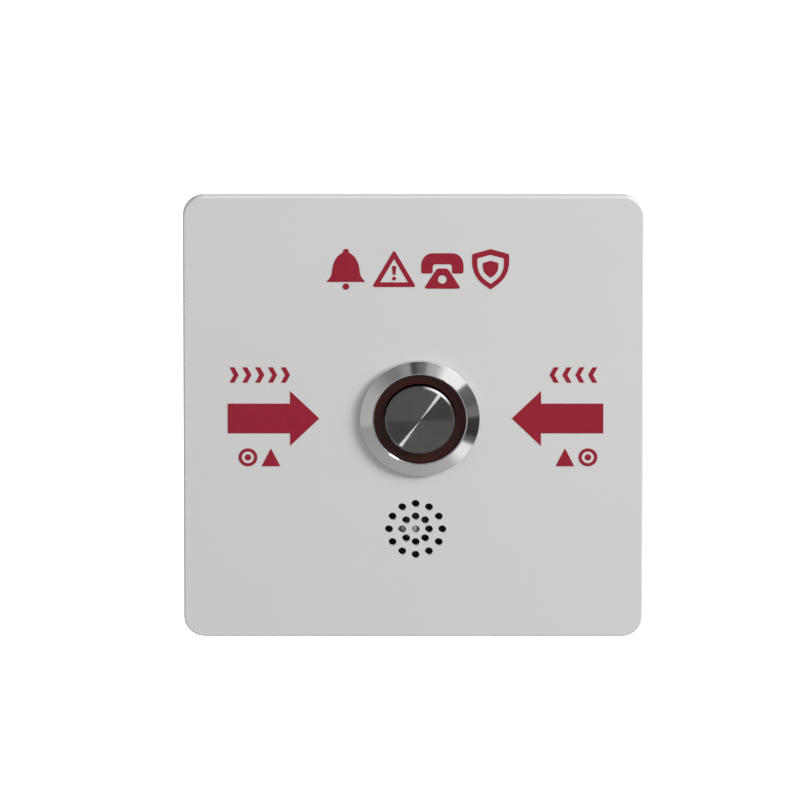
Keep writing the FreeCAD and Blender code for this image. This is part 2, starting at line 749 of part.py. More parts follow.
def terminal_block():
    """A four-way screw terminal on the back of the board, reached through the housing's window."""
    part = body("terminal_block")
    face = front_sketch(part, "terminal_body", TERMINAL_BACK)
    block(face, "-way_count * way_pitch / 2", "way_count * way_pitch / 2", TERMINAL_BOTTOM, TERMINAL_TOP)
    pad(part, face, "terminal_tall")
    first_way = "-(way_count - 1) * way_pitch / 2"
    well = front_sketch(part, "screw_well", "%s + clamp_well_deep" % TERMINAL_BACK, first_way,
                        "%s + terminal_deep / 2" % TERMINAL_BOTTOM)
    circle(well, "0", "0", "clamp_screw_width + 2 * hole_gap")
    row_of(part, pocket(part, well, "clamp_well_deep"), well, "way_pitch", "way_count")
    entry = level_sketch(part, "wire_entry", "%s + wire_hole_deep" % TERMINAL_BOTTOM)
    tie(entry, ".AttachmentOffset.Base.x", first_way)
    tie(entry, ".AttachmentOffset.Base.y", "-(%s - wire_hole_depth)" % BOARD_BACK)
    circle(entry, "0", "0", "wire_hole")
    row_of(part, pocket(part, entry, "wire_hole_deep"), entry, "way_pitch", "way_count")


def terminal_screws():
    """The terminal's clamping screws, each with a slot."""
    part = body("terminal_screws")
    first_way = "-(way_count - 1) * way_pitch / 2"
    level = "%s + terminal_deep / 2" % TERMINAL_BOTTOM
    seat = "(%s + clamp_well_deep)" % TERMINAL_BACK
    shank = front_sketch(part, "clamp_screw", "%s - clamp_screw_long" % seat, first_way, level)
    circle(shank, "0", "0", "clamp_screw_width")
    screw = pad(part, shank, "clamp_screw_long")
    row_of(part, screw, shank, "way_pitch", "way_count")
    groove_floor = "%s - clamp_screw_long + clamp_slot_deep" % seat
    groove = front_sketch(part, "screw_slot", groove_floor, first_way, level)
    block(groove, "-clamp_screw_width", "clamp_screw_width", "-clamp_slot_wide / 2", "clamp_slot_wide / 2")
    row_of(part, pocket(part, groove, "clamp_slot_deep"), groove, "way_pitch", "way_count")


def relay():
    """The relay that switches the alarm line."""
    part = body("relay", "relay_x", RELAY_Z)
    face = front_sketch(part, "relay_case", BOARD_FRONT)
    block(face, "-relay_width / 2", "relay_width / 2", "-relay_deep / 2", "relay_deep / 2")
    pad(part, face, "relay_tall")
    ease(part, "Fillet", "relay_ease", lambda edge: not lies_at(edge, BOARD_FRONT))


def capacitors():
    """Two upright cans beside the relay."""
    part = body("capacitors")
    for label, up in (("can", RELAY_Z), ("small_can", "(%s - small_can_drop)" % RELAY_Z)):
        sketch = front_sketch(part, label, BOARD_FRONT)
        circle(sketch, label + "_x", up, label + "_width")
        pad(part, sketch, label + "_tall")


def control_chip():
    """The chip that drives the lamps and the sounder."""
    part = body("control_chip", "chip_x", "chip_z")
    case = front_sketch(part, "chip_case", "%s + leg_thick / 2" % BOARD_FRONT)
    block(case, "-chip_width / 2", "chip_width / 2", "-chip_long / 2", "chip_long / 2")
    pad(part, case, "chip_tall")
    reach = "(chip_width / 2 + leg_reach)"
    for leg in range(int(number("leg_count"))):
        level = "(%d - (leg_count - 1) / 2) * leg_pitch" % leg
        legs = front_sketch(part, "legs_%d" % leg, BOARD_FRONT, "0", level)
        block(legs, "-" + reach, reach, "-leg_width / 2", "leg_width / 2")
        pad(part, legs, "leg_thick")


# Push button: everything that turns about its axis

def bezel_body():
    """The steel head and threaded barrel, with a seat for the light ring and a groove for the seal."""
    part = turned("bezel_body", [
        ("barrel_bore / 2", BARREL_END),
        ("barrel_width / 2", BARREL_END),
        ("barrel_width / 2", "panel_front"),
        (SEAL_INSIDE + " / 2", "panel_front"),
        (SEAL_INSIDE + " / 2", "panel_front + seal_thick"),
        (SEAL_OUTSIDE + " / 2", "panel_front + seal_thick"),
        (SEAL_OUTSIDE + " / 2", "panel_front"),
        ("head_width / 2", "panel_front"),
        ("head_width / 2", "panel_front + rim_height"),
        ("nose_width / 2", BEZEL_FRONT),
        ("ring_width / 2 + fit_gap", BEZEL_FRONT),
        ("ring_width / 2 + fit_gap", RING_SEAT),
        ("barrel_bore / 2", RING_SEAT),
    ], "button_x")
    ease(part, "Fillet", "nose_ease", head_edge)


def head_edge(edge):
    """Tell whether an edge is the top of the head's rim or either side of its nose."""
    return lies_at(edge, "panel_front + rim_height") or lies_at(edge, BEZEL_FRONT)


def panel_seal():
    """The flat seal in the groove under the bezel's head."""
    turned("panel_seal", [
        (SEAL_INSIDE + " / 2 + fit_gap", "panel_front"),
        (SEAL_OUTSIDE + " / 2 - fit_gap", "panel_front"),
        (SEAL_OUTSIDE + " / 2 - fit_gap", "panel_front + seal_thick"),
        (SEAL_INSIDE + " / 2 + fit_gap", "panel_front + seal_thick"),
    ], "button_x")


def lock_washer():
    """The washer between the panel's back and the nut."""
    turned("lock_washer", [
        ("barrel_width / 2 + hole_gap", "%s - washer_thick" % PANEL_BACK),
        (WASHER_WIDTH + " / 2", "%s - washer_thick" % PANEL_BACK),
        (WASHER_WIDTH + " / 2", PANEL_BACK),
        ("barrel_width / 2 + hole_gap", PANEL_BACK),
    ], "button_x")


def lock_nut():
    """The hexagon nut that clamps the button in the panel."""
    part = body("lock_nut", "button_x")
    front = "(%s - washer_thick)" % PANEL_BACK
    flats = front_sketch(part, "nut_flats", "%s - nut_thick" % front)
    hexagon(flats, NUT_FLATS)
    circle(flats, "0", "0", "barrel_width + 2 * fit_gap")
    pad(part, flats, "nut_thick")


def light_ring():
    """The tinted ring that the lamps shine through, with its guide tube."""
    turned("light_ring", [
        ("ring_inside / 2", GUIDE_END),
        ("barrel_bore / 2 - hole_gap", GUIDE_END),
        ("barrel_bore / 2 - hole_gap", RING_SEAT),
        ("ring_width / 2", RING_SEAT),
        ("ring_width / 2", "%s - ring_sink" % BEZEL_FRONT),
        ("ring_inside / 2", "%s - ring_sink" % BEZEL_FRONT),
    ], "button_x")


def press_cap():
    """The cap that is pressed, with a recess for the plunger."""
    turned("press_cap", [
        ("plunger_width / 2 + fit_gap", CAP_BACK),
        ("cap_width / 2", CAP_BACK),
        ("cap_width / 2", "%s - cap_chamfer" % CAP_FRONT),
        ("cap_width / 2 - cap_chamfer", CAP_FRONT),
        ("0", CAP_FRONT),
        ("0", "%s + cap_recess" % CAP_BACK),
        ("plunger_width / 2 + fit_gap", "%s + cap_recess" % CAP_BACK),
    ], "button_x")


def plunger():
    """The stem that carries the cap, the clip and the moving contact."""
    turned("plunger", [
        ("0", "%s - spigot_length" % CONTACT_FRONT),
        ("spigot_width / 2", "%s - spigot_length" % CONTACT_FRONT),
        ("spigot_width / 2", CONTACT_FRONT),
        ("plunger_width / 2", CONTACT_FRONT),
        ("plunger_width / 2", CLIP_BACK),
        ("plunger_width / 2 - clip_groove", CLIP_BACK),
        ("plunger_width / 2 - clip_groove", CLIP_FRONT),
        ("plunger_width / 2", CLIP_FRONT),
        ("plunger_width / 2", "%s + cap_recess" % CAP_BACK),
        ("0", "%s + cap_recess" % CAP_BACK),
    ], "button_x")


def plunger_clip():
    """The ring that keeps the plunger from coming out."""
    turned("plunger_clip", [
        ("plunger_width / 2 - clip_groove + fit_gap", CLIP_BACK),
        ("clip_width / 2", CLIP_BACK),
        ("clip_width / 2", CLIP_FRONT),
        ("plunger_width / 2 - clip_groove + fit_gap", CLIP_FRONT),
    ], "button_x")


def plunger_seal():
    """The lip seal that the plunger slides through."""
    floor = "(%s - seal_recess)" % SWITCH_FRONT
    turned("plunger_seal", [
        ("plunger_width / 2 + fit_gap", floor),
        ("lip_seal_width / 2", floor),
        ("lip_seal_width / 2", "%s + lip_seal_thick" % floor),
        ("plunger_width / 2 + fit_gap", "%s + lip_seal_thick" % floor),
    ], "button_x")


def return_spring():
    """The coil spring between the switch and the cap: a many-sided wire swept along a helix."""
    path = doc.addObject("Part::Helix", "spring_path")
    tie(path, "Radius", "spring_coil / 2")
    tie(path, "Height", "spring_length - spring_wire")
    tie(path, "Pitch", "(spring_length - spring_wire) / spring_turns")
    wire = doc.addObject("Part::RegularPolygon", "spring_section")
    tie(wire, "Polygon", "spring_sides")
    tie(wire, "Circumradius", "spring_wire / 2")
    wire.Placement = Placement(Vector(0, 0, 0), Rotation(Vector(1, 0, 0), 90))
    tie(wire, "Placement.Base.x", "spring_coil / 2")
    coil = doc.addObject("Part::Sweep", "return_spring")
    coil.Label = "return_spring"
    coil.Sections = [wire]
    coil.Spine = (path, [])
    coil.Solid = True
    coil.Frenet = True
    coil.Placement = Placement(Vector(0, 0, 0), Rotation(Vector(1, 0, 0), 90))
    tie(coil, "Placement.Base.x", "button_x")
    tie(coil, "Placement.Base.y", "-(%s + spring_wire / 2)" % SWITCH_FRONT)
    pieces.append(coil)


def lamp_board():
    """The ring-shaped board under the light guide."""
    part = body("lamp_board", "button_x")
    board = front_sketch(part, "lamp_board_ring", SWITCH_FRONT)
    circle(board, "0", "0", "barrel_bore - 4 * hole_gap")
    circle(board, "0", "0", "lamp_board_inside")
    for side in (2, -2):
        circle(board, "0", "lamp_pin_circle / %d" % side, "lamp_pin + 2 * fit_gap")
    pad(part, board, "lamp_board_thick")


def lamp_chips():
    """The lamps on their board, facing the light guide."""
    part = body("lamp_chips", "button_x")
    lamp = front_sketch(part, "lamp", LAMP_BOARD_FRONT, turn=45)
    block(lamp, "(lamp_circle - lamp_size) / 2", "(lamp_circle + lamp_size) / 2",
          "-lamp_size / 2", "lamp_size / 2")
    ring_of(part, pad(part, lamp, "lamp_tall"), lamp, "lamp_count")


def pins(name, places, width, top, end, across="0", up="0"):
    """Round pins from one depth to another."""
    part = body(name, across, up)
    sketch = front_sketch(part, name + "_round", end)
    for place in places:
        circle(sketch, place[0], place[1], width)
    pad(part, sketch, "%s - %s" % (top, end))
    return part


def switch_housing():
    """The insulating body of the switch, with the plunger's guide in its front wall."""
    part = turned("switch_housing", [
        ("plunger_width / 2 + fit_gap", SWITCH_INSIDE),
        ("plunger_width / 2 + fit_gap", "%s - seal_recess" % SWITCH_FRONT),
        ("lip_seal_width / 2 + fit_gap", "%s - seal_recess" % SWITCH_FRONT),
        ("lip_seal_width / 2 + fit_gap", SWITCH_FRONT),
        ("barrel_bore / 2 - hole_gap", SWITCH_FRONT),
        ("barrel_bore / 2 - hole_gap", BARREL_END),
        ("switch_flange_width / 2", BARREL_END),
        ("switch_flange_width / 2", SWITCH_BACK),
        ("cavity_width / 2", SWITCH_BACK),
        ("cavity_width / 2", SWITCH_INSIDE),
    ], "button_x")
    holes = front_sketch(part, "lamp_pin_holes", SWITCH_FRONT)
    for side in (2, -2):
        circle(holes, "0", "lamp_pin_circle / %d" % side, "lamp_pin + 2 * fit_gap")
    pocket(part, holes, "%s - %s" % (SWITCH_FRONT, SWITCH_BACK))


def terminal_base():
    """The plug that closes the switch and holds its pins."""
    base_back = "(%s - base_thick)" % SWITCH_BACK
    part = turned("terminal_base", [
        ("0", base_back),
        ("switch_flange_width / 2", base_back),
        ("switch_flange_width / 2", SWITCH_BACK),
        ("cavity_width / 2 - fit_gap", SWITCH_BACK),
        ("cavity_width / 2 - fit_gap", BASE_FRONT),
        ("0", BASE_FRONT),
    ], "button_x")
    holes = front_sketch(part, "base_holes", BASE_FRONT)
    for side in (2, -2):
        circle(holes, "0", "lamp_pin_circle / %d" % side, "lamp_pin + 2 * fit_gap")
        circle(holes, "post_space / %d" % side, "0", "pin_width + 2 * fit_gap")
    pocket(part, holes, "%s - %s" % (BASE_FRONT, base_back))


def moving_contact():
    """The bridge that the plunger carries to the two posts."""
    part = body("moving_contact", "button_x")
    bridge = front_sketch(part, "bridge", CONTACT_BACK)
    block(bridge, "-contact_length / 2", "contact_length / 2", "-contact_width / 2", "contact_width / 2")
    pad(part, bridge, "contact_thick")
    boss = front_sketch(part, "bridge_eye", CONTACT_BACK)
    circle(boss, "0", "0", "spigot_width + contact_width / 2")
    pad(part, boss, "contact_thick")
    hole = front_sketch(part, "bridge_hole", CONTACT_FRONT)
    circle(hole, "0", "0", "spigot_width + 2 * fit_gap")
    pocket(part, hole, "contact_thick")


def fixed_contacts():
    """Two posts in the switch, each on a pin that runs down into the circuit board."""
    places = [("post_space / %d" % side, "0") for side in (2, -2)]
    part = pins("fixed_contacts", places, "pin_width", BASE_FRONT, PIN_END, "button_x")
    posts = front_sketch(part, "contact_posts", BASE_FRONT)
    for across, up in places:
        circle(posts, across, up, "post_width")
    pad(part, posts, "%s - %s" % (POST_FRONT, BASE_FRONT))


# Speaker behind the sound holes

def speaker_parts():
    """The sounder's own pieces, turned about its axis, from the panel back to the strap."""
    where = ("speaker_x", SPEAKER_Z)
    rim = "(speaker_width / 2 - basket_wall)"
    turned("speaker_gasket", [
        (rim, FOAM_BACK),
        ("speaker_width / 2", FOAM_BACK),
        ("speaker_width / 2", PANEL_BACK),
        (rim, PANEL_BACK),
    ], *where)
    floor = "(%s - trough_deep)" % BASKET_FRONT
    turned("speaker_diaphragm", [
        ("0", "%s + dome_rise" % floor),
        ("shoulder_width / 2", "%s + dome_rise * shoulder_share" % floor),
        ("dome_width / 2", floor),
        ("trough_width / 2", floor),
        (rim, BASKET_FRONT),
        ("speaker_width / 2", BASKET_FRONT),
        ("speaker_width / 2", FOAM_BACK),
        (rim, FOAM_BACK),
        ("trough_width / 2", "%s + film_thick" % floor),
        ("dome_width / 2", "%s + film_thick" % floor),
        ("shoulder_width / 2", "%s + dome_rise * shoulder_share + film_thick" % floor),
        ("0", "%s + dome_rise + film_thick" % floor),
    ], *where)
    turned("voice_coil", [
        ("coil_inside / 2", "%s - coil_length" % floor),
        ("coil_outside / 2", "%s - coil_length" % floor),
        ("coil_outside / 2", floor),
        ("coil_inside / 2", floor),
    ], *where)
    turned("speaker_frame", [
        ("pot_width / 2 + hole_gap", BASKET_BACK),
        ("speaker_width / 2", BASKET_BACK),
        ("speaker_width / 2", BASKET_FRONT),
        (rim, BASKET_FRONT),
        (rim, "%s + basket_floor" % BASKET_BACK),
        ("pot_width / 2 + hole_gap", "%s + basket_floor" % BASKET_BACK),
    ], *where)
    turned("speaker_yoke", [
        ("0", POT_BACK),
        ("pot_flange_width / 2", POT_BACK),
        ("pot_flange_width / 2", BASKET_BACK),
        ("pot_width / 2", BASKET_BACK),
        ("pot_width / 2", "%s + pot_height" % BASKET_BACK),
        ("pot_width / 2 - pot_wall", "%s + pot_height" % BASKET_BACK),
        ("pot_width / 2 - pot_wall", BASKET_BACK),
        ("0", BASKET_BACK),
    ], *where)
    turned("speaker_magnet", [
        ("0", BASKET_BACK),
        ("magnet_width / 2", BASKET_BACK),
        ("magnet_width / 2", "%s + magnet_thick" % BASKET_BACK),
        ("0", "%s + magnet_thick" % BASKET_BACK),
    ], *where)


def speaker_strap():
    """The strap across the back of the speaker, screwed to the cover's bosses."""
    part = body("speaker_strap", "speaker_x", SPEAKER_Z)
    strap = front_sketch(part, "strap", STRAP_BACK)
    reach = "(strap_screw_space / 2 + strap_end)"
    block(strap, "-" + reach, reach, "-strap_width / 2", "strap_width / 2")
    for side in (2, -2):
        circle(strap, "strap_screw_space / %d" % side, "0", "strap_screw + 2 * hole_gap")
    pad(part, strap, "strap_thick")


# Print: thin ink on the panel's face

def printed_arrows():
    """Two arrows that point at the button."""
    part = body("printed_arrows", "arrow_x", "arrow_z")
    sketch = front_sketch(part, "arrows", "panel_front")
    for side in (1, -1):
        tip = "%d * arrow_tip" % side
        neck = "%d * (arrow_tip + arrow_head)" % side
        tail = "%d * (arrow_tip + arrow_length)" % side
        outline(sketch, [(tip, "0"), (neck, "arrow_wings / 2"), (neck, "arrow_shaft / 2"),
                         (tail, "arrow_shaft / 2"), (tail, "-arrow_shaft / 2"),
                         (neck, "-arrow_shaft / 2"), (neck, "-arrow_wings / 2")])
    pad(part, sketch, "ink_thick")


# Outlines and dots of the four signs over the button, as shares of the symbol's size
BELL = [(-0.44, -0.30), (-0.33, -0.16), (-0.29, 0.14), (-0.18, 0.33), (-0.06, 0.40), (-0.06, 0.48),
        (0.06, 0.48), (0.06, 0.40), (0.18, 0.33), (0.29, 0.14), (0.33, -0.16), (0.44, -0.30)]
HANDSET = [(-0.48, -0.10), (-0.48, 0.20), (-0.34, 0.38), (0.34, 0.38), (0.48, 0.20), (0.48, -0.10),
           (0.22, -0.10), (0.22, 0.12), (-0.22, 0.12), (-0.22, -0.10)]
CRADLE = [(-0.42, -0.46), (0.42, -0.46), (0.30, -0.18), (0.14, 0.04), (-0.14, 0.04), (-0.30, -0.18)]
TRIANGLE = [(-0.5, -0.42), (0.5, -0.42), (0.0, 0.46)]
TRIANGLE_INSIDE = [(-0.32, -0.31), (0.32, -0.31), (0.0, 0.25)]
STROKE = [(-0.05, 0.08), (0.05, 0.08), (0.03, -0.13), (-0.03, -0.13)]
SHIELD = [(0.0, 0.48), (0.42, 0.36), (0.42, 0.0), (0.27, -0.28), (0.0, -0.48),
          (-0.27, -0.28), (-0.42, 0.0), (-0.42, 0.36)]
SIGNS = [
    ("bell_sign", [BELL], [(0.0, -0.41, 0.15)]),
    ("triangle_sign", [TRIANGLE, TRIANGLE_INSIDE, STROKE], [(0.0, -0.22, 0.09)]),
    ("telephone_sign", [HANDSET, CRADLE], [(0.0, -0.24, 0.2)]),
    ("shield_sign", [SHIELD, [(0.72 * across, 0.72 * up) for across, up in SHIELD],
                     [(0.42 * across, 0.42 * up) for across, up in SHIELD]], []),
]


def printed_symbols():
    """Plain signs over the button, and rows of chevrons and small marks beside the arrows."""
    part = body("printed_symbols")
    for place, (label, outlines, dots) in enumerate(SIGNS):
        across = "symbol_row_x + (%d - 1.5) * symbol_pitch" % place
        sketch = front_sketch(part, label, "panel_front", across, "symbol_row_z")
        for points in outlines:
            outline(sketch, [(share(across), share(up)) for across, up in points])
        for across, up, width in dots:
            circle(sketch, share(across), share(up), share(width))
        pad(part, sketch, "ink_thick")
    for side, row in ((1, "left_chevrons"), (-1, "right_chevrons")):
        start = "%s_x - %d * chevron_pitch * (%s - 1) / 2" % (row, side, row)
        sketch = front_sketch(part, row, "panel_front", start, "chevrons_z")
        chevron(sketch, side)
        row_of_chevrons = row_of(part, pad(part, sketch, "ink_thick"), sketch, "chevron_pitch", row)
        row_of_chevrons.Reversed = side < 0
    for side, pair in ((1, "left_marks"), (-1, "right_marks")):
        sketch = front_sketch(part, pair, "panel_front", pair + "_x", "marks_z")
        circle(sketch, "%d * mark_space / -2" % side, "0", "mark_size")
        circle(sketch, "%d * mark_space / -2" % side, "0", "mark_size - 2 * mark_stroke")
        circle(sketch, "%d * mark_space / -2" % side, "0", "mark_stroke * 2")
        left = "%d * mark_space / 2 - mark_size / 2" % side
        right = "%d * mark_space / 2 + mark_size / 2" % side
        outline(sketch, [(left, "-mark_size / 2"), (right, "-mark_size / 2"),
                         ("(%s + mark_size / 2)" % left, "mark_size / 2")])
        pad(part, sketch, "ink_thick")


def share(part_of_size):
    """A length as a share of a sign's size."""
    return "%g * symbol_size" % part_of_size if part_of_size else "0"


def chevron(sketch, side):
    """Draw one chevron that points along the horizontal axis to one side."""
    point = "%d * chevron_length / 2" % side
    back = "-%d * chevron_length / 2" % side
    outline(sketch, [(back, "chevron_height / 2"),
                     ("%s + %d * chevron_stroke" % (back, side), "chevron_height / 2"),
                     (point, "0"),
                     ("%s + %d * chevron_stroke" % (back, side), "-chevron_height / 2"),
                     (back, "-chevron_height / 2"),
                     ("%s - %d * chevron_stroke" % (point, side), "0")])


front_cover()
printed_arrows()
printed_symbols()
wall_gasket()
mounting_frame()
security_screws()
rear_housing()
screws("housing_screws", corners_of("boss_space_x", BOSS_SPACE_Z),
       ("housing_head", "(housing_seat - flange_thick)", "housing_head_thick"),
       ("housing_screw", "(housing_seat - flange_thick)", "housing_thread"), "housing_screw * socket_share")
circuit_board()
board_screws()
terminal_block()
terminal_screws()
relay()
capacitors()
control_chip()
bezel_body()
panel_seal()
lock_washer()
lock_nut()
light_ring()
press_cap()
plunger()
plunger_clip()
plunger_seal()
return_spring()
lamp_board()
lamp_chips()
pins("lamp_pins", [("0", "lamp_pin_circle / %d" % side) for side in (2, -2)], "lamp_pin",
     LAMP_BOARD_FRONT, PIN_END, "button_x")
switch_housing()
terminal_base()
moving_contact()
fixed_contacts()
speaker_parts()
speaker_strap()
screws("strap_screws", [("speaker_x + strap_screw_space / %d" % side, SPEAKER_Z) for side in (2, -2)],
       ("strap_head", STRAP_BACK, "strap_head_thick"),
       ("strap_screw", STRAP_BACK, "strap_thick + strap_thread - fit_gap"), "strap_screw * socket_share")
pins("speaker_pins", [("speaker_pin_space / %d" % side, "speaker_pin_up") for side in (2, -2)], "speaker_pin",
     BASKET_BACK, BOARD_BACK, "speaker_x", SPEAKER_Z)

doc.recompute()
for item in doc.Objects:
    if "Invalid" in item.State or "Error" in item.State:
        raise RuntimeError("%s failed" % item.Name)
for piece in pieces:
    if piece.Shape.isNull() or not piece.Shape.isValid() or not piece.Shape.Solids:
        raise RuntimeError("%s has no valid shape" % piece.Label)
os.makedirs("parts", exist_ok=True)
for piece in pieces:
    piece.Shape.exportStep("parts/%s.step" % piece.Label)
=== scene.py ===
import json
import math

import bmesh
import bpy
from mathutils import Matrix, Vector


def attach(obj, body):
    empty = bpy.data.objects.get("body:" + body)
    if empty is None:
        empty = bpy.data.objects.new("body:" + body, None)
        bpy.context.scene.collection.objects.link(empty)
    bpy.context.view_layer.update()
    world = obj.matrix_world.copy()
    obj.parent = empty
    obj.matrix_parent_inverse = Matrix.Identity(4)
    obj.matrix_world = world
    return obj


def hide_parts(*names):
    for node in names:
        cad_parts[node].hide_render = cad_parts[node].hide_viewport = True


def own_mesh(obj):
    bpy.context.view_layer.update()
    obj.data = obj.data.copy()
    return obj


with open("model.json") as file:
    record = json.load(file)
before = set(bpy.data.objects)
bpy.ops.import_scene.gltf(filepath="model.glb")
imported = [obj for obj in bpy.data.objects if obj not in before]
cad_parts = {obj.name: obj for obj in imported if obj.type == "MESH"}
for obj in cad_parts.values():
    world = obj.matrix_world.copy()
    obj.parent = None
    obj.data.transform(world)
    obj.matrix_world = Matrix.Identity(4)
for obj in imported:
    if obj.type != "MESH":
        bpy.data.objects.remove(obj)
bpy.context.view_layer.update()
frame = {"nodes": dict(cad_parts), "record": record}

# Wall-mounted panic button. The front faces -Y, the wall is the plane Y = 0 and +Z is up.
# Depths are distances in front of the wall. Sizes are in millimetres, and what is built is in metres.
MM = 0.001
PANEL_WIDTH = 86.0
PANEL_FRONT = 11.0
BUTTON_X = 1.2
SPEAKER_X = 0.4
SPEAKER_Z = -21.9

# The photograph's frame: 800 pixels across, in which the panel is 460 pixels wide
FRAME_PIXELS = 800
PANEL_PIXELS = 460.0
PANEL_MIDDLE = (413.45, 417.4)
VIEW_DOWN = math.radians(17.0)
VIEW_DISTANCE = 3500.0
SENSOR = 36.0


def linear(red, green, blue):
    """Turn a colour of 0 to 255 into the linear light that a shader takes."""
    parts = [value / 255 for value in (red, green, blue)]
    light = [part / 12.92 if part < 0.04045 else ((part + 0.055) / 1.055) ** 2.4 for part in parts]
    return (*light, 1)


class Wire:
    """A socket in a node tree, on which sums are written as on a number."""

    def __init__(self, drawing, socket):
        self.drawing = drawing
        self.socket = socket

    def __add__(self, other):
        return self.drawing.sum("ADD", self, other)

    def __radd__(self, other):
        return self.drawing.sum("ADD", other, self)

    def __sub__(self, other):
        return self.drawing.sum("SUBTRACT", self, other)

    def __rsub__(self, other):
        return self.drawing.sum("SUBTRACT", other, self)

    def __mul__(self, other):
        return self.drawing.sum("MULTIPLY", self, other)

    def __rmul__(self, other):
        return self.drawing.sum("MULTIPLY", other, self)

    def __truediv__(self, other):
        return self.drawing.sum("DIVIDE", self, other)

    def __rtruediv__(self, other):
        return self.drawing.sum("DIVIDE", other, self)

    def __pow__(self, other):
        return self.drawing.sum("POWER", self, other)

    def __gt__(self, other):
        return self.drawing.sum("GREATER_THAN", self, other)

    def __lt__(self, other):
        return self.drawing.sum("LESS_THAN", self, other)


class Drawing:
    """A node tree that is drawn from its first node to its output."""

    def __init__(self, tree):
        self.tree = tree
        self.tree.nodes.clear()

    def node(self, kind, settings=None, values=None, out=0):
        """Add a node: its settings first, then the values or links of its sockets."""
        made = self.tree.nodes.new("ShaderNode" + kind)
        for name, value in (settings or {}).items():
            if name == "stops":
                ramp_stops(made.color_ramp, value)
            else:
                setattr(made, name, value)
        for name, value in (values or {}).items():
            if isinstance(value, Wire):
                self.tree.links.new(value.socket, made.inputs[name])
            else:
                made.inputs[name].default_value = value
        return Wire(self, made.outputs[out]) if made.outputs else None

    def sum(self, operation, *parts):
        """Join numbers or wires with one Math node."""
        return self.node("Math", {"operation": operation}, dict(enumerate(parts)))

    def dot(self, first, second):
        """How far one direction goes along another."""
        return self.node("VectorMath", {"operation": "DOT_PRODUCT"}, {0: first, 1: second}, "Value")

    def place(self, middle=(0, 0, 0)):
        """The point on the piece, in millimetres from a middle."""
        point = self.node("TexCoord", out="Object")
        shift = [-value for value in middle]
        return self.node("Mapping", {}, {"Vector": point, "Location": shift, "Scale": (1 / MM,) * 3})

    def stretched(self, point, scales):
        """The same point, measured finer along some axes."""
        return self.node("Mapping", {}, {"Vector": point, "Scale": scales})

    def axis(self, point, name):
        """One part of a point: X, Y or Z."""
        return self.node("SeparateXYZ", {}, {"Vector": point}, name)

    def noise(self, point, scale, detail=2.0):
        """Soft noise from 0 to 1, with a number of lumps in each millimetre."""
        return self.node("TexNoise", {}, {"Vector": point, "Scale": scale, "Detail": detail})

    def cells(self, point, scale):
        """The distance from the nearest of scattered points."""
        return self.node("TexVoronoi", {}, {"Vector": point, "Scale": scale}, "Distance")

    def ramp(self, value, stops):
        """A colour that follows a value through its stops."""
        return self.node("ValToRGB", {"stops": stops}, {"Fac": value}, "Color")

    def mix(self, share, first, second):
        """Blend from one colour to another."""
        return self.node("Mix", {"data_type": "RGBA"}, {0: share, 6: first, 7: second}, 2)

    def bump(self, height, distance):
        """A normal that follows a height of 0 to 1 over a distance in millimetres."""
        return self.node("Bump", {}, {"Height": height, "Distance": distance * MM})


def ramp_stops(ramp, stops):
    """Set the stops of a colour ramp, which are grey levels or colours."""
    while len(ramp.elements) < len(stops):
        ramp.elements.new(0.5)
    for element, (position, level) in zip(ramp.elements, stops):
        element.position = position
        element.color = level if isinstance(level, tuple) else (level, level, level, 1)


def finish(name, surface):
    """Make a material from a function that gives the values of a Principled BSDF."""
    material = bpy.data.materials.new(name)
    material.use_nodes = True
    drawing = Drawing(material.node_tree)
    shader = drawing.node("BsdfPrincipled", {}, surface(drawing))
    drawing.node("OutputMaterial", {}, {"Surface": shader})
    return material


# Finishes of the front

def panel_coat(draw):
    """Pale grey powder coat with a fine orange peel."""
    point = draw.place()
    peel = draw.noise(point, 2.6, 3)
    drift = draw.noise(point, 0.04, 2)
    colour = draw.mix(drift, linear(205, 205, 205), linear(209, 209, 208))
    return {"Base Color": colour, "Roughness": 0.46 + 0.1 * peel, "Specular IOR Level": 0.35,
            "Normal": draw.bump(peel, 0.004)}


def print_ink(draw):
    """Crimson screen print, thicker and thinner in soft patches."""
    point = draw.place()
    patch = draw.noise(point, 0.9, 4)
    weave = draw.noise(point, 6, 1)
    colour = draw.mix(patch, linear(138, 24, 42), linear(152, 34, 52))
    return {"Base Color": colour, "Roughness": 0.42 + 0.2 * weave, "Specular IOR Level": 0.25,
            "Normal": draw.bump(weave, 0.006)}


def polished_steel(draw):
    """Polished stainless steel with hair-fine marks around the axis."""
    point = draw.place((BUTTON_X, 0, 0))
    marks = draw.noise(draw.stretched(point, (0.4, 9, 0.4)), 1.5, 3)
    return {"Base Color": (0.74, 0.74, 0.735, 1), "Metallic": 1.0, "Roughness": 0.045 + 0.04 * marks}


def turned_cap(draw):
    """Dark steel with grooves turned about its middle, each leaning a little out or in."""
    pitch = 0.11
    lean = 0.15
    above_zero = 0.0001
    point = draw.place((BUTTON_X, 0, 0))
    across = draw.axis(point, "X")
    up = draw.axis(point, "Z")
    radius = (across * across + up * up + above_zero) ** 0.5
    wave = draw.sum("SINE", radius * (2 * math.pi / pitch)) * lean
    outward = draw.node("CombineXYZ", {}, {"X": across / radius * wave, "Z": up / radius * wave})
    face = draw.node("NewGeometry", out="Normal")
    leaning = draw.node("VectorMath", {"operation": "ADD"}, {0: face, 1: outward})
    normal = draw.node("VectorMath", {"operation": "NORMALIZE"}, {0: leaning})
    tone = draw.noise(point, 0.5, 2)
    colour = draw.mix(tone, (0.19, 0.19, 0.195, 1), (0.22, 0.22, 0.22, 1))
    return {"Base Color": colour, "Metallic": 1.0, "Roughness": 0.03, "Normal": normal}


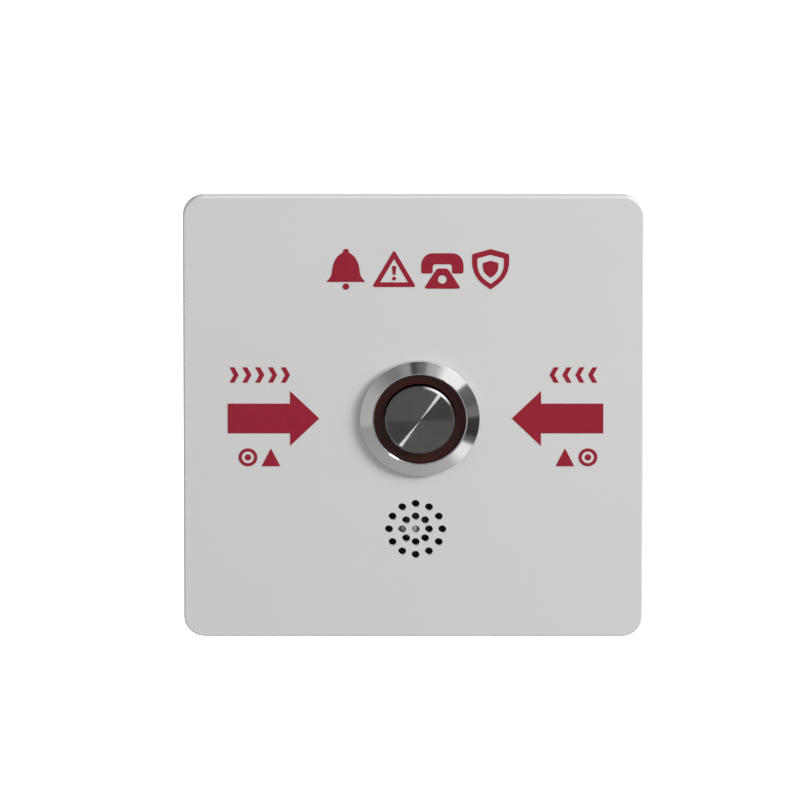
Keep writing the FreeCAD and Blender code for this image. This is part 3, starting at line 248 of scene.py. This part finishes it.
def ring_lens(draw):
    """Dark red-brown lens, with a painted highlight: a paler, redder tone painted along its two edges where
    light catches them.
    """
    point = draw.place((BUTTON_X, 0, 0))
    across = draw.axis(point, "X")
    up = draw.axis(point, "Z")
    radius = (across * across + up * up) ** 0.5
    ramp_reach = 10.0
    # Painted highlight: the lens's inner and outer edges are painted paler and redder, standing in for
    # light caught on their rounded edges
    edge = draw.ramp(radius / ramp_reach, [(0.68, 0.5), (0.69, 0.0), (0.838, 0.0), (0.85, 1.0)])
    speck = draw.noise(point, 1.5, 2)
    depth = draw.mix(speck, linear(47, 18, 12), linear(54, 22, 16))
    colour = draw.mix(edge, depth, linear(92, 50, 46))
    return {"Base Color": colour, "Roughness": 0.16 + 0.1 * speck, "Specular IOR Level": 0.25}


# Finishes of the sides, the back and the inside

def black_foam(draw):
    """Closed-cell foam."""
    cell = draw.cells(draw.place(), 3.5)
    colour = draw.mix(cell, (0.012, 0.012, 0.012, 1), (0.035, 0.035, 0.036, 1))
    return {"Base Color": colour, "Roughness": 0.9, "Normal": draw.bump(cell, 0.08)}


def zinc_steel(draw):
    """Zinc plate over rolled sheet: crystals of a few millimetres, with faint rolling marks."""
    point = draw.place()
    rolled = draw.noise(draw.stretched(point, (0.15, 3, 3)), 2.0, 3)
    crystal = draw.axis(draw.node("TexVoronoi", {}, {"Vector": point, "Scale": 0.32}, "Color"), "X")
    colour = draw.mix(crystal, (0.34, 0.35, 0.37, 1), (0.46, 0.45, 0.42, 1))
    return {"Base Color": colour, "Metallic": 1.0, "Roughness": 0.28 + 0.1 * crystal + 0.12 * rolled,
            "Normal": draw.bump(rolled, 0.01)}


def screw_steel(draw):
    """Plated screw steel."""
    point = draw.place()
    grain = draw.noise(point, 4, 3)
    colour = draw.mix(grain, (0.3, 0.3, 0.31, 1), (0.44, 0.44, 0.43, 1))
    return {"Base Color": colour, "Metallic": 1.0, "Roughness": 0.24 + 0.16 * grain}


def moulded(dark, light, grain_size=3.5, rough=0.5, depth=0.012):
    """A finish of moulded plastic between two tones, with a spark-eroded grain."""
    def draw_moulded(draw):
        point = draw.place()
        grain = draw.noise(point, grain_size, 3)
        flow = draw.noise(point, 0.08, 2)
        colour = draw.mix(0.5 * flow + 0.5 * grain, dark + (1,), light + (1,))
        return {"Base Color": colour, "Roughness": rough - 0.08 + 0.16 * grain,
                "Normal": draw.bump(grain, depth)}
    return draw_moulded


def board_laminate(draw):
    """Green solder mask over copper tracks, with the tracks raised a little."""
    point = draw.place()
    lanes = draw.node("TexBrick", {"offset": 0.37}, {
        "Vector": draw.node("Mapping", {}, {"Vector": point, "Rotation": (math.pi / 2, 0, 0)}),
        "Scale": 1.0, "Mortar Size": 0.16, "Mortar Smooth": 0.1, "Brick Width": 5.3,
        "Row Height": 1.9}, "Fac")
    weave = draw.noise(point, 2, 2)
    colour = draw.mix(lanes, (0.006, 0.075, 0.028, 1), (0.018, 0.15, 0.055, 1))
    return {"Base Color": colour, "Roughness": 0.22 + 0.12 * weave, "Normal": draw.bump(lanes, 0.03)}


def capacitor_can(draw):
    """Dark shrink sleeve with a pale stripe, and bare aluminium on the end."""
    end_lean = -0.7
    stripe_lean = 0.86
    face = draw.node("NewGeometry", out="Normal")
    end = draw.axis(face, "Y") < end_lean
    stripe = draw.axis(face, "X") > stripe_lean
    grain = draw.noise(draw.place(), 3, 2)
    sleeve = draw.mix(stripe, (0.012, 0.014, 0.03, 1), (0.45, 0.46, 0.48, 1))
    return {"Base Color": draw.mix(end, sleeve, (0.72, 0.72, 0.72, 1)), "Metallic": end,
            "Roughness": 0.3 + 0.15 * grain}


def chip_resin(draw):
    """Black resin with tinned legs on both sides."""
    chip_x = -14.0
    half_body = 2.51
    across = draw.sum("ABSOLUTE", draw.axis(draw.place((chip_x, 0, 0)), "X"))
    leg = across > half_body
    grain = draw.noise(draw.place(), 6, 2)
    colour = draw.mix(leg, (0.014, 0.014, 0.015, 1), (0.66, 0.65, 0.62, 1))
    return {"Base Color": colour, "Metallic": leg, "Roughness": 0.62 - 0.34 * leg + 0.06 * grain}


def rubber(draw):
    """Moulded black rubber."""
    grain = draw.noise(draw.place(), 4, 3)
    return {"Base Color": draw.mix(grain, (0.012, 0.012, 0.012, 1), (0.024, 0.024, 0.024, 1)),
            "Roughness": 0.72 + 0.12 * grain, "Normal": draw.bump(grain, 0.008)}


def nickel_plate(draw):
    """Warm nickel plate with fine machining marks."""
    marks = draw.noise(draw.stretched(draw.place(), (1, 6, 1)), 1.6, 3)
    colour = draw.mix(marks, (0.58, 0.55, 0.49, 1), (0.68, 0.65, 0.59, 1))
    return {"Base Color": colour, "Metallic": 1.0, "Roughness": 0.18 + 0.16 * marks}


def spring_steel(draw):
    """Drawn wire, finely lined along its run."""
    grain = draw.noise(draw.place(), 7, 2)
    colour = draw.mix(grain, (0.36, 0.36, 0.37, 1), (0.56, 0.56, 0.57, 1))
    return {"Base Color": colour, "Metallic": 1.0, "Roughness": 0.22 + 0.15 * grain}


def lamp_resin(draw):
    """Clear resin over yellow phosphor."""
    speck = draw.cells(draw.place(), 5)
    colour = draw.mix(speck, (0.75, 0.6, 0.16, 1), (0.85, 0.8, 0.55, 1))
    return {"Base Color": colour, "Roughness": 0.25 + 0.1 * speck, "Coat Weight": 0.5}


def contact_brass(draw):
    """Tinned brass."""
    grain = draw.noise(draw.place(), 3, 3)
    colour = draw.mix(grain, (0.62, 0.48, 0.24, 1), (0.72, 0.6, 0.36, 1))
    return {"Base Color": colour, "Metallic": 1.0, "Roughness": 0.25 + 0.15 * grain}


def speaker_film(draw):
    """Dark pressed film, with a pale lead glued from its middle to the left, whose tones along its length
    are painted light: paler under the middle and left grille holes, to lift the shade inside them.
    """
    lead_left = 1.4
    half_length = 2.3
    half_width = 1.05
    point = draw.place((SPEAKER_X, 0, SPEAKER_Z))
    along = draw.axis(point, "X") + lead_left
    up = draw.axis(point, "Z")
    reach = ((along / half_length) ** 4 + (up / half_width) ** 4) ** 0.25
    lead = draw.ramp(reach, [(0.9, 1.0), (1.0, 0.0)])
    ripple = draw.noise(point, 1.2, 2)
    share = along / (2 * half_length) + 0.5
    # Painted light: the lead's tone rises and falls along it, paler where the middle and left grille holes
    # look onto it, to lift the shade inside those holes
    lead_tone_and_painted_light = draw.ramp(share, [(0.1, 1.0), (0.2, 0.8), (0.3, 0.5), (0.54, 0.45), (0.61, 0.85), (0.83, 0.85),
                            (0.87, 0.2)])
    colour = draw.mix(lead, (0.012, 0.012, 0.012, 1), lead_tone_and_painted_light)
    return {"Base Color": colour, "Roughness": 0.45 + 0.2 * ripple, "Normal": draw.bump(ripple, 0.03)}


def coil_copper(draw):
    """Copper winding, one ridge for each turn, with painted shade: the grooves between turns are painted
    dark.
    """
    wire_width = 0.12
    depth = draw.axis(draw.place(), "Y")
    turn = draw.sum("ABSOLUTE", draw.sum("SINE", depth * (math.pi / wire_width)))
    # Painted shade: the colour darkens to near black in the grooves between turns
    return {"Base Color": draw.mix(turn, (0.2, 0.05, 0.015, 1), (0.62, 0.22, 0.08, 1)), "Metallic": 1.0,
            "Roughness": 0.5 - 0.2 * turn, "Normal": draw.bump(turn, 0.04)}


FINISHES = {
    "panel_coat": panel_coat,
    "print_ink": print_ink,
    "black_foam": black_foam,
    "zinc_steel": zinc_steel,
    "screw_steel": screw_steel,
    "housing_plastic": moulded((0.01, 0.01, 0.011), (0.042, 0.042, 0.044), 2.4, 0.5, 0.022),
    "board_laminate": board_laminate,
    "terminal_plastic": moulded((0.012, 0.14, 0.05), (0.018, 0.18, 0.065), 3.0, 0.42, 0.008),
    "relay_plastic": moulded((0.012, 0.03, 0.11), (0.018, 0.042, 0.14), 2.5, 0.35, 0.006),
    "capacitor_can": capacitor_can,
    "chip_resin": chip_resin,
    "polished_steel": polished_steel,
    "black_rubber": rubber,
    "nickel_plate": nickel_plate,
    "ring_lens": ring_lens,
    "turned_cap": turned_cap,
    "switch_plastic": moulded((0.014, 0.014, 0.014), (0.022, 0.022, 0.022), 3.0, 0.45, 0.008),
    "spring_steel": spring_steel,
    "lamp_resin": lamp_resin,
    "contact_brass": contact_brass,
    "speaker_film": speaker_film,
    "coil_copper": coil_copper,
    "speaker_basket": moulded((0.02, 0.02, 0.02), (0.03, 0.03, 0.03), 4.0, 0.55, 0.01),
    "magnet_nickel": nickel_plate,
}

finishes = {name: finish(name, surface) for name, surface in FINISHES.items()}


def dress_nodes():
    """Give every node of the model the finish of its slot."""
    for part in frame["record"]["subparts"]:
        mesh = frame["nodes"][part["node"]].data
        mesh.materials.clear()
        mesh.materials.append(finishes[part["material_slot"]])


# Steps of a full turn and of an eased corner, the points closer than which two are one, in metres,
# and the angle in degrees past which an edge shows as sharp
TURN_STEPS = 160
EASE_STEPS = 4
SAME_POINT = 1e-7
SHARP_ANGLE = 35


def join(shape, corners, eases):
    """Join corners with a closed line, and round each one by its ease in millimetres."""
    for step, corner in enumerate(corners):
        shape.edges.new((corners[step - 1], corner))
    for ease in sorted({ease for ease in eases if ease}):
        picked = [corner for corner, size in zip(corners, eases) if size == ease]
        bmesh.ops.bevel(shape, geom=picked, affect="VERTICES", offset=ease * MM, offset_type="OFFSET",
                        segments=EASE_STEPS, profile=0.5, material=-1)


# Pieces that are turned about the button's axis

def turned(name, outline, slot, body):
    """Spin a closed outline of (radius, depth, ease) points about the button's axis."""
    shape = bmesh.new()
    corners = [shape.verts.new((radius * MM, -depth * MM, 0)) for radius, depth, ease in outline]
    join(shape, corners, [ease for radius, depth, ease in outline])
    bmesh.ops.spin(shape, geom=shape.verts[:] + shape.edges[:], cent=(0, 0, 0), axis=(0, 1, 0),
                   angle=2 * math.pi, steps=TURN_STEPS, use_merge=True)
    bmesh.ops.remove_doubles(shape, verts=shape.verts, dist=SAME_POINT)
    on_axis = [edge for edge in shape.edges if not edge.link_faces]
    bmesh.ops.delete(shape, geom=on_axis, context="EDGES")
    bmesh.ops.recalc_face_normals(shape, faces=shape.faces)
    bmesh.ops.translate(shape, verts=shape.verts, vec=(BUTTON_X * MM, 0, 0))
    return piece(name, shape, slot, body)


def piece(name, shape, slot, body):
    """Turn a finished bmesh into a piece that rides on a body."""
    mesh = bpy.data.meshes.new(name)
    shape.to_mesh(mesh)
    shape.free()
    mesh.shade_smooth()
    mesh.set_sharp_from_angle(angle=math.radians(SHARP_ANGLE))
    mesh.materials.append(finishes[slot])
    made = bpy.data.objects.new(name, mesh)
    bpy.context.scene.collection.objects.link(made)
    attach(made, body)
    return made


def button_head():
    """The steel head and its threaded barrel."""
    thread_root = 9.1
    thread_top = 9.48
    thread_start = -6.6
    ridges = 15
    pitch = 1.0
    outline = [(8.0, -7.0, 0), (thread_root, -7.0, 0)]
    for ridge in range(ridges):
        depth = thread_start + ridge * pitch
        outline += [(thread_root, depth, 0), (thread_top, depth + pitch * 0.4, 0),
                    (thread_top, depth + pitch * 0.55, 0), (thread_root, depth + pitch * 0.95, 0)]
    outline += [(thread_root, 8.6, 0), (thread_top, 9.0, 0), (thread_top, 11.0, 0), (9.84, 11.0, 0),
                (9.84, 11.6, 0), (10.69, 11.6, 0), (10.69, 11.0, 0), (11.2, 11.0, 0), (11.2, 11.88, 0),
                (11.2, 12.0, 0.06), (11.1, 12.022, 0), (8.95, 12.489, 0), (8.86, 12.509, 0.05),
                (8.77, 12.455, 0), (8.66, 12.389, 0.03), (8.6, 12.3, 0), (8.6, 9.0, 0), (8.0, 9.0, 0)]
    head = turned("button_head", outline, "polished_steel", "cover")
    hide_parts("bezel_body")


def button_cap():
    """The turned cap with its chamfer and the recess for the plunger."""
    outline = [(3.05, 10.2, 0), (6.45, 10.2, 0), (6.6, 10.2, 0.08), (6.6, 10.35, 0), (6.6, 12.65, 0),
               (6.6, 12.78, 0.07), (6.5, 12.88, 0), (6.28, 13.1, 0), (6.18, 13.2, 0.06), (6.06, 13.2, 0),
               (0.0, 13.2, 0), (0.0, 11.7, 0), (3.05, 11.7, 0)]
    cap = turned("button_cap", outline, "turned_cap", "push_cap")
    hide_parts("press_cap")


def glow_ring():
    """The lens round the cap, with its light guide."""
    outline = [(6.75, 3.5, 0), (7.9, 3.5, 0), (7.9, 9.0, 0), (8.55, 9.0, 0), (8.55, 11.35, 0),
               (8.55, 11.5, 0.1), (8.4, 11.5, 0), (6.85, 11.5, 0), (6.75, 11.5, 0.04), (6.75, 11.4, 0)]
    ring = turned("glow_ring", outline, "ring_lens", "cover")
    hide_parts("light_ring")


def coil_spring():
    """The spring under the cap, which the cap's travel shortens."""
    wire = 0.35
    wire_sides = 12
    coil = 4.1
    turns = 6
    turn_steps = 40
    start = 1.75
    length = 8.1
    shape = bmesh.new()
    bmesh.ops.create_circle(shape, segments=wire_sides, radius=wire * MM)
    bmesh.ops.translate(shape, verts=shape.verts, vec=(coil * MM, -start * MM, 0))
    steps = turns * turn_steps
    bmesh.ops.spin(shape, geom=shape.edges[:], cent=(0, 0, 0), axis=(0, -1, 0), angle=2 * math.pi * turns,
                   steps=steps, dvec=(0, -length / steps * MM, 0))
    bmesh.ops.remove_doubles(shape, verts=shape.verts, dist=SAME_POINT)
    bmesh.ops.holes_fill(shape, edges=shape.edges)
    bmesh.ops.recalc_face_normals(shape, faces=shape.faces)
    bmesh.ops.translate(shape, verts=shape.verts, vec=(BUTTON_X * MM, 0, 0))
    spring = piece("coil_spring", shape, "spring_steel", "cover")
    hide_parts("return_spring")
    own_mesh(spring)


# Print on the panel. A shape of a sign is its place in the row, its outlines, each half of a mirrored line
# of (across, up, ease) points, and its dots of (across, up, width), as shares of the sign's size.
INK_THICK = 0.06
SIGN_SIZE = 8.2
SIGN_PITCH = 9.0
SIGN_ROW = (0.9, 28.9)
# The place of the last sign in the row, in which the first one is at 0
LAST_SIGN = 3
SHIELD = [(0.0, 0.48, 0.02), (0.42, 0.36, 0.03), (0.42, 0.0, 0.16), (0.27, -0.28, 0.14), (0.0, -0.48, 0.02)]
SHIELD_SHARES = (1, 0.72, 0.42)
SIGNS = [
    (0, [[(0.44, -0.30, 0.02), (0.33, -0.16, 0.07), (0.29, 0.14, 0.1), (0.18, 0.33, 0.08),
          (0.06, 0.40, 0.03), (0.06, 0.48, 0.03)]], [(0.0, -0.41, 0.15)]),
    (1, [[(0.5, -0.42, 0.06), (0.0, 0.46, 0.06)], [(0.32, -0.31, 0.01), (0.0, 0.25, 0.01)],
         [(0.03, -0.13, 0.01), (0.05, 0.08, 0.02)]], [(0.0, -0.22, 0.09)]),
    (2, [[(0.22, 0.12, 0.06), (0.22, -0.10, 0.04), (0.48, -0.10, 0.05), (0.48, 0.20, 0.1),
          (0.34, 0.38, 0.1)]], []),
    (2, [[(0.42, -0.46, 0.06), (0.26, -0.20, 0.12), (0.12, 0.02, 0.05)]], [(0.0, -0.24, 0.2)]),
    (3, [[(share * across, share * up, share * ease) for across, up, ease in SHIELD]
         for share in SHIELD_SHARES], []),
]
# Chevrons over the arrows and small marks under them, in millimetres. Side 1 is left of the button, and
# side -1 is right of it. Chevrons point at the button, and the triangle of a pair of marks is nearer to it.
# A row is its side, its middle and how many chevrons it has, and a pair is its side and its middle.
CHEVRON = [(-0.85, 1.5, 0.05), (0.05, 1.5, 0.05), (0.85, 0.0, 0.1), (0.05, -1.5, 0.05), (-0.85, -1.5, 0.05),
           (-0.05, 0.0, 0.1)]
CHEVRON_PITCH = 2.4
CHEVRONS_Z = 8.3
CHEVRON_ROWS = [(1, -28.7, 5), (-1, 29.9, 4)]
MARK_TRIANGLE = [(1.75, -1.75, 0.2), (0.0, 1.75, 0.2)]
MARK_RINGS = (3.5, 2.3, 1.2)
MARK_ASIDE = 2.15
MARKS_Z = -7.8
MARK_PAIRS = [(1, -28.8), (-1, 30.5)]
DOT_STEPS = 64


def mirrored(half):
    """A whole outline from its right half."""
    return half + [(-across, up, ease) for across, up, ease in reversed(half) if across]


def print_line(shape, middle, points, size=1, side=1):
    """Draw a closed line on the panel about a middle."""
    corners = []
    for across, up, ease in points:
        corner = (middle[0] + side * across * size, -PANEL_FRONT, middle[1] + up * size)
        corners.append(shape.verts.new(Vector(corner) * MM))
    join(shape, corners, [ease * size for across, up, ease in points])


def print_dot(shape, across, up, width):
    """Draw the line of a round dot on the panel."""
    place = Matrix.Translation(Vector((across, -PANEL_FRONT, up)) * MM)
    bmesh.ops.create_circle(shape, segments=DOT_STEPS, radius=width / 2 * MM,
                            matrix=place @ Matrix.Rotation(math.pi / 2, 4, "X"))


def fill_lines(shape):
    """Fill the lines drawn since the last fill: a line inside another one bounds a hole."""
    lines = [edge for edge in shape.edges if not edge.link_faces]
    bmesh.ops.triangle_fill(shape, use_beauty=True, edges=lines, normal=(0, -1, 0))


def front_signs():
    """The signs over the button, and the chevrons and small marks beside the arrows."""
    shape = bmesh.new()
    for place, outlines, dots in SIGNS:
        middle = (SIGN_ROW[0] + (place - LAST_SIGN / 2) * SIGN_PITCH, SIGN_ROW[1])
        for half in outlines:
            print_line(shape, middle, mirrored(half), SIGN_SIZE)
        for across, up, width in dots:
            print_dot(shape, middle[0] + across * SIGN_SIZE, middle[1] + up * SIGN_SIZE, width * SIGN_SIZE)
        fill_lines(shape)
    for side, middle, count in CHEVRON_ROWS:
        for step in range(count):
            across = middle + (step - (count - 1) / 2) * CHEVRON_PITCH
            print_line(shape, (across, CHEVRONS_Z), CHEVRON, side=side)
            fill_lines(shape)
    for side, middle in MARK_PAIRS:
        print_line(shape, (middle + side * MARK_ASIDE, MARKS_Z), mirrored(MARK_TRIANGLE))
        for width in MARK_RINGS:
            print_dot(shape, middle - side * MARK_ASIDE, MARKS_Z, width)
        fill_lines(shape)
    top = bmesh.ops.extrude_face_region(shape, geom=shape.faces[:], use_keep_orig=True)["geom"]
    raised = [part for part in top if isinstance(part, bmesh.types.BMVert)]
    bmesh.ops.translate(shape, verts=raised, vec=(0, -INK_THICK * MM, 0))
    bmesh.ops.recalc_face_normals(shape, faces=shape.faces)
    signs = piece("front_signs", shape, "print_ink", "cover")
    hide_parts("printed_symbols")


# Studio: a plain floor well below the part, a pale world, three soft lamps and the camera

ACROSS = Vector((1, 0, 0))
UPWARDS = Vector((0, math.sin(VIEW_DOWN), math.cos(VIEW_DOWN)))
TOWARDS = Vector((0, -math.cos(VIEW_DOWN), math.sin(VIEW_DOWN)))
# Where a flat front face mirrors the camera's view, and "up" about that line
MIRRORED = Vector((0, -math.cos(VIEW_DOWN), -math.sin(VIEW_DOWN)))
MIRRORED_UP = Vector((0, -math.sin(VIEW_DOWN), math.cos(VIEW_DOWN)))

# Plain light from all around, as a share of white, and how much of it is lost straight below
PLAIN_LEVEL = 0.58
BELOW_LOSS = 0.6
# How much the floor glows to the camera and to gloss, to come out white
FLOOR_GLOW = 0.9
# What gloss mirrors of the room that no card covers
ROOM_TONE = 0.336
# The cards round the camera that the polished rim mirrors, by the clock of the rim: where each starts
# and ends in degrees from 12 o'clock, and the tones that the rim shows there. Tones fade between cards.
RIM_SLOPE = 12.26
RIM_METAL = 0.731
RIM_REACH = 42
RIM_BRIGHTEST = 1.8
RIM_CARDS = [(-180, -136, 155, 151), (-133, -100, 150, 142), (-96, -62, 168, 161), (-48, -40, 142, 126),
             (-34, -24, 118, 117), (-19, -11, 134, 142), (-8.5, -4, 62, 68), (-2, 6, 96, 108),
             (9, 19, 157, 170), (28, 50.5, 232, 232), (52.5, 73, 101, 84), (75, 86, 102, 110),
             (89, 107, 52, 46), (110, 116, 80, 98), (119, 132, 220, 226), (146, 180, 167, 155)]
# What the cap's grooves mirror over half a turn: the lamp's thin line, then a darker quarter
CAP_METAL = 0.2
CAP_REACH = 20
CAP_BRIGHTEST = 11.5
CAP_TONES = [(0, 78), (33.7, 79), (34.2, 340), (36.0, 340), (36.5, 59), (84, 61), (93, 76), (180, 78)]
# A bright card beside the part, which the cap's chamfer mirrors: its place, its reach and its strength
SIDE_CARD = (42, 90)
SIDE_REACH = 38
SIDE_STRENGTH = 5.6
# The floor in metres: half its width, how far behind the wall's plane it starts, and how far down it lies
FLOOR_HALF = 4.0
FLOOR_BEHIND = 0.05
FLOOR_DOWN = 0.4
# Soft lamps, all as far from the part: the clock and the lean of each, its width in metres, its power, and
# whether gloss mirrors it
LAMP_DISTANCE = 1.2
LAMPS = [("spark_lamp", 46, 50, 0.24, 1.8, True), ("key_lamp", 62, 63, 0.5, 10.7, False),
         ("low_lamp", 63, 74, 0.42, 3.0, False)]


def bearing(clock, lean):
    """The way to a place before the part: its clock seen from the front, and how far off straight ahead."""
    turn = math.radians(clock)
    tilt = math.radians(lean)
    return Vector((math.sin(tilt) * math.sin(turn), -math.cos(tilt), math.sin(tilt) * math.cos(turn)))


def mirrored_clock(clock):
    """Which way round the mirrored view a place on the sloping rim looks, in degrees."""
    facing = bearing(clock, RIM_SLOPE)
    way = facing * (2 * facing.dot(TOWARDS)) - TOWARDS
    return math.degrees(math.atan2(way.dot(ACROSS), way.dot(MIRRORED_UP)))


def level(tone, metal, brightest):
    """The share of the brightest light that shows as a tone of 0 to 255 on a metal."""
    return linear(tone, tone, tone)[0] / metal / brightest


def rim_stops():
    """The rim's cards as stops from half a turn before 12 o'clock to half a turn after it."""
    stops = []
    for start, end, first, last in RIM_CARDS:
        stops.append((mirrored_clock(start) / 360 + 0.5, level(first, RIM_METAL, RIM_BRIGHTEST)))
        stops.append((mirrored_clock(end) / 360 + 0.5, level(last, RIM_METAL, RIM_BRIGHTEST)))
    stops[0] = (0.0, stops[0][1])
    stops[-1] = (1.0, stops[-1][1])
    return stops


def studio_world():
    """A pale world: white to the camera, plain as light, and the studio's cards to gloss."""
    world = bpy.data.worlds.new("studio")
    world.use_nodes = True
    bpy.context.scene.world = world
    draw = Drawing(world.node_tree)
    direction = draw.node("TexCoord", out="Generated")
    over = draw.dot(direction, MIRRORED_UP)
    aside = draw.dot(direction, ACROSS)
    off = draw.sum("ARCCOSINE", draw.dot(direction, MIRRORED)) * (180 / math.pi)
    clock = draw.sum("ARCTAN2", aside, over) / (2 * math.pi)
    rim = draw.ramp(clock + 0.5, rim_stops()) * RIM_BRIGHTEST
    cap_stops = [(angle / 180, level(tone, CAP_METAL, CAP_BRIGHTEST)) for angle, tone in CAP_TONES]
    cap = draw.ramp(draw.sum("FRACT", clock * 2), cap_stops) * CAP_BRIGHTEST
    near = off < CAP_REACH
    around = (off < RIM_REACH) - near
    edge = math.cos(math.radians(SIDE_REACH))
    past_edge = draw.sum("MAXIMUM", draw.dot(direction, bearing(*SIDE_CARD)) - edge, 0)
    side = past_edge / (1 - edge) * SIDE_STRENGTH
    mirrored = near * cap + around * rim + (1 - near - around) * ROOM_TONE + side
    camera = draw.node("LightPath", out="Is Camera Ray")
    glass = draw.node("LightPath", out="Is Transmission Ray")
    gloss = draw.node("LightPath", out="Is Glossy Ray")
    white = draw.sum("MAXIMUM", camera, glass)
    below = draw.sum("MINIMUM", draw.axis(direction, "Z"), 0)
    plain = (1 + below * BELOW_LOSS) * PLAIN_LEVEL
    strength = white + (1 - white) * ((1 - gloss) * plain + gloss * mirrored)
    shader = draw.node("Background", {}, {"Color": (1, 1, 1, 1), "Strength": strength})
    draw.node("OutputWorld", {}, {"Surface": shader})


def studio_floor():
    """A pale floor under the part, which starts just behind it, so that metal mirrors the room's cards."""
    material = bpy.data.materials.new("pale_floor")
    material.use_nodes = True
    draw = Drawing(material.node_tree)
    soft = draw.noise(draw.place(), 0.002, 2)
    tone = draw.mix(soft, (0.8, 0.8, 0.8, 1), (0.82, 0.82, 0.82, 1))
    paint = draw.node("BsdfDiffuse", {}, {"Color": tone})
    seen = draw.sum("MAXIMUM", draw.node("LightPath", out="Is Camera Ray"),
                    draw.node("LightPath", out="Is Glossy Ray"))
    glow = draw.node("Emission", {}, {"Strength": FLOOR_GLOW * seen})
    both = draw.node("AddShader", {}, {0: paint, 1: glow})
    draw.node("OutputMaterial", {}, {"Surface": both})
    shape = bmesh.new()
    bmesh.ops.create_grid(shape, x_segments=4, y_segments=4, size=FLOOR_HALF)
    bmesh.ops.translate(shape, verts=shape.verts, vec=(0, FLOOR_HALF + FLOOR_BEHIND, -FLOOR_DOWN))
    mesh = bpy.data.meshes.new("floor")
    shape.to_mesh(mesh)
    shape.free()
    mesh.materials.append(material)
    floor = bpy.data.objects.new("floor", mesh)
    bpy.context.scene.collection.objects.link(floor)


def soft_lamp(name, clock, lean, width, power, mirrored_by_gloss):
    """A round soft lamp that faces the part."""
    way = bearing(clock, lean)
    lamp = bpy.data.lights.new(name, "AREA")
    lamp.shape = "DISK"
    lamp.size = width
    lamp.energy = power
    holder = bpy.data.objects.new(name, lamp)
    holder.location = way * LAMP_DISTANCE
    holder.rotation_euler = way.to_track_quat("Z", "Y").to_euler()
    holder.visible_glossy = mirrored_by_gloss
    bpy.context.scene.collection.objects.link(holder)


def photo_camera():
    """The camera at the photograph's angle, with the panel where the photograph has it."""
    pixel = PANEL_WIDTH / PANEL_PIXELS
    aside = (PANEL_MIDDLE[0] - FRAME_PIXELS / 2) * pixel
    below = (PANEL_MIDDLE[1] - FRAME_PIXELS / 2) * pixel
    aim = Vector((0, -PANEL_FRONT, 0)) - ACROSS * aside + UPWARDS * below
    camera = bpy.data.cameras.new("photo_camera")
    camera.sensor_width = SENSOR
    camera.lens = SENSOR * VIEW_DISTANCE / (FRAME_PIXELS * pixel)
    camera.clip_end = 100
    holder = bpy.data.objects.new("photo_camera", camera)
    holder.location = (aim + TOWARDS * VIEW_DISTANCE) * MM
    holder.rotation_euler = (math.pi / 2 - VIEW_DOWN, 0, 0)
    bpy.context.scene.collection.objects.link(holder)
    bpy.context.scene.camera = holder


dress_nodes()
button_head()
button_cap()
glow_ring()
coil_spring()
front_signs()
studio_world()
studio_floor()
for lamp in LAMPS:
    soft_lamp(*lamp)
photo_camera()
bpy.context.scene.view_settings.view_transform = "Standard"
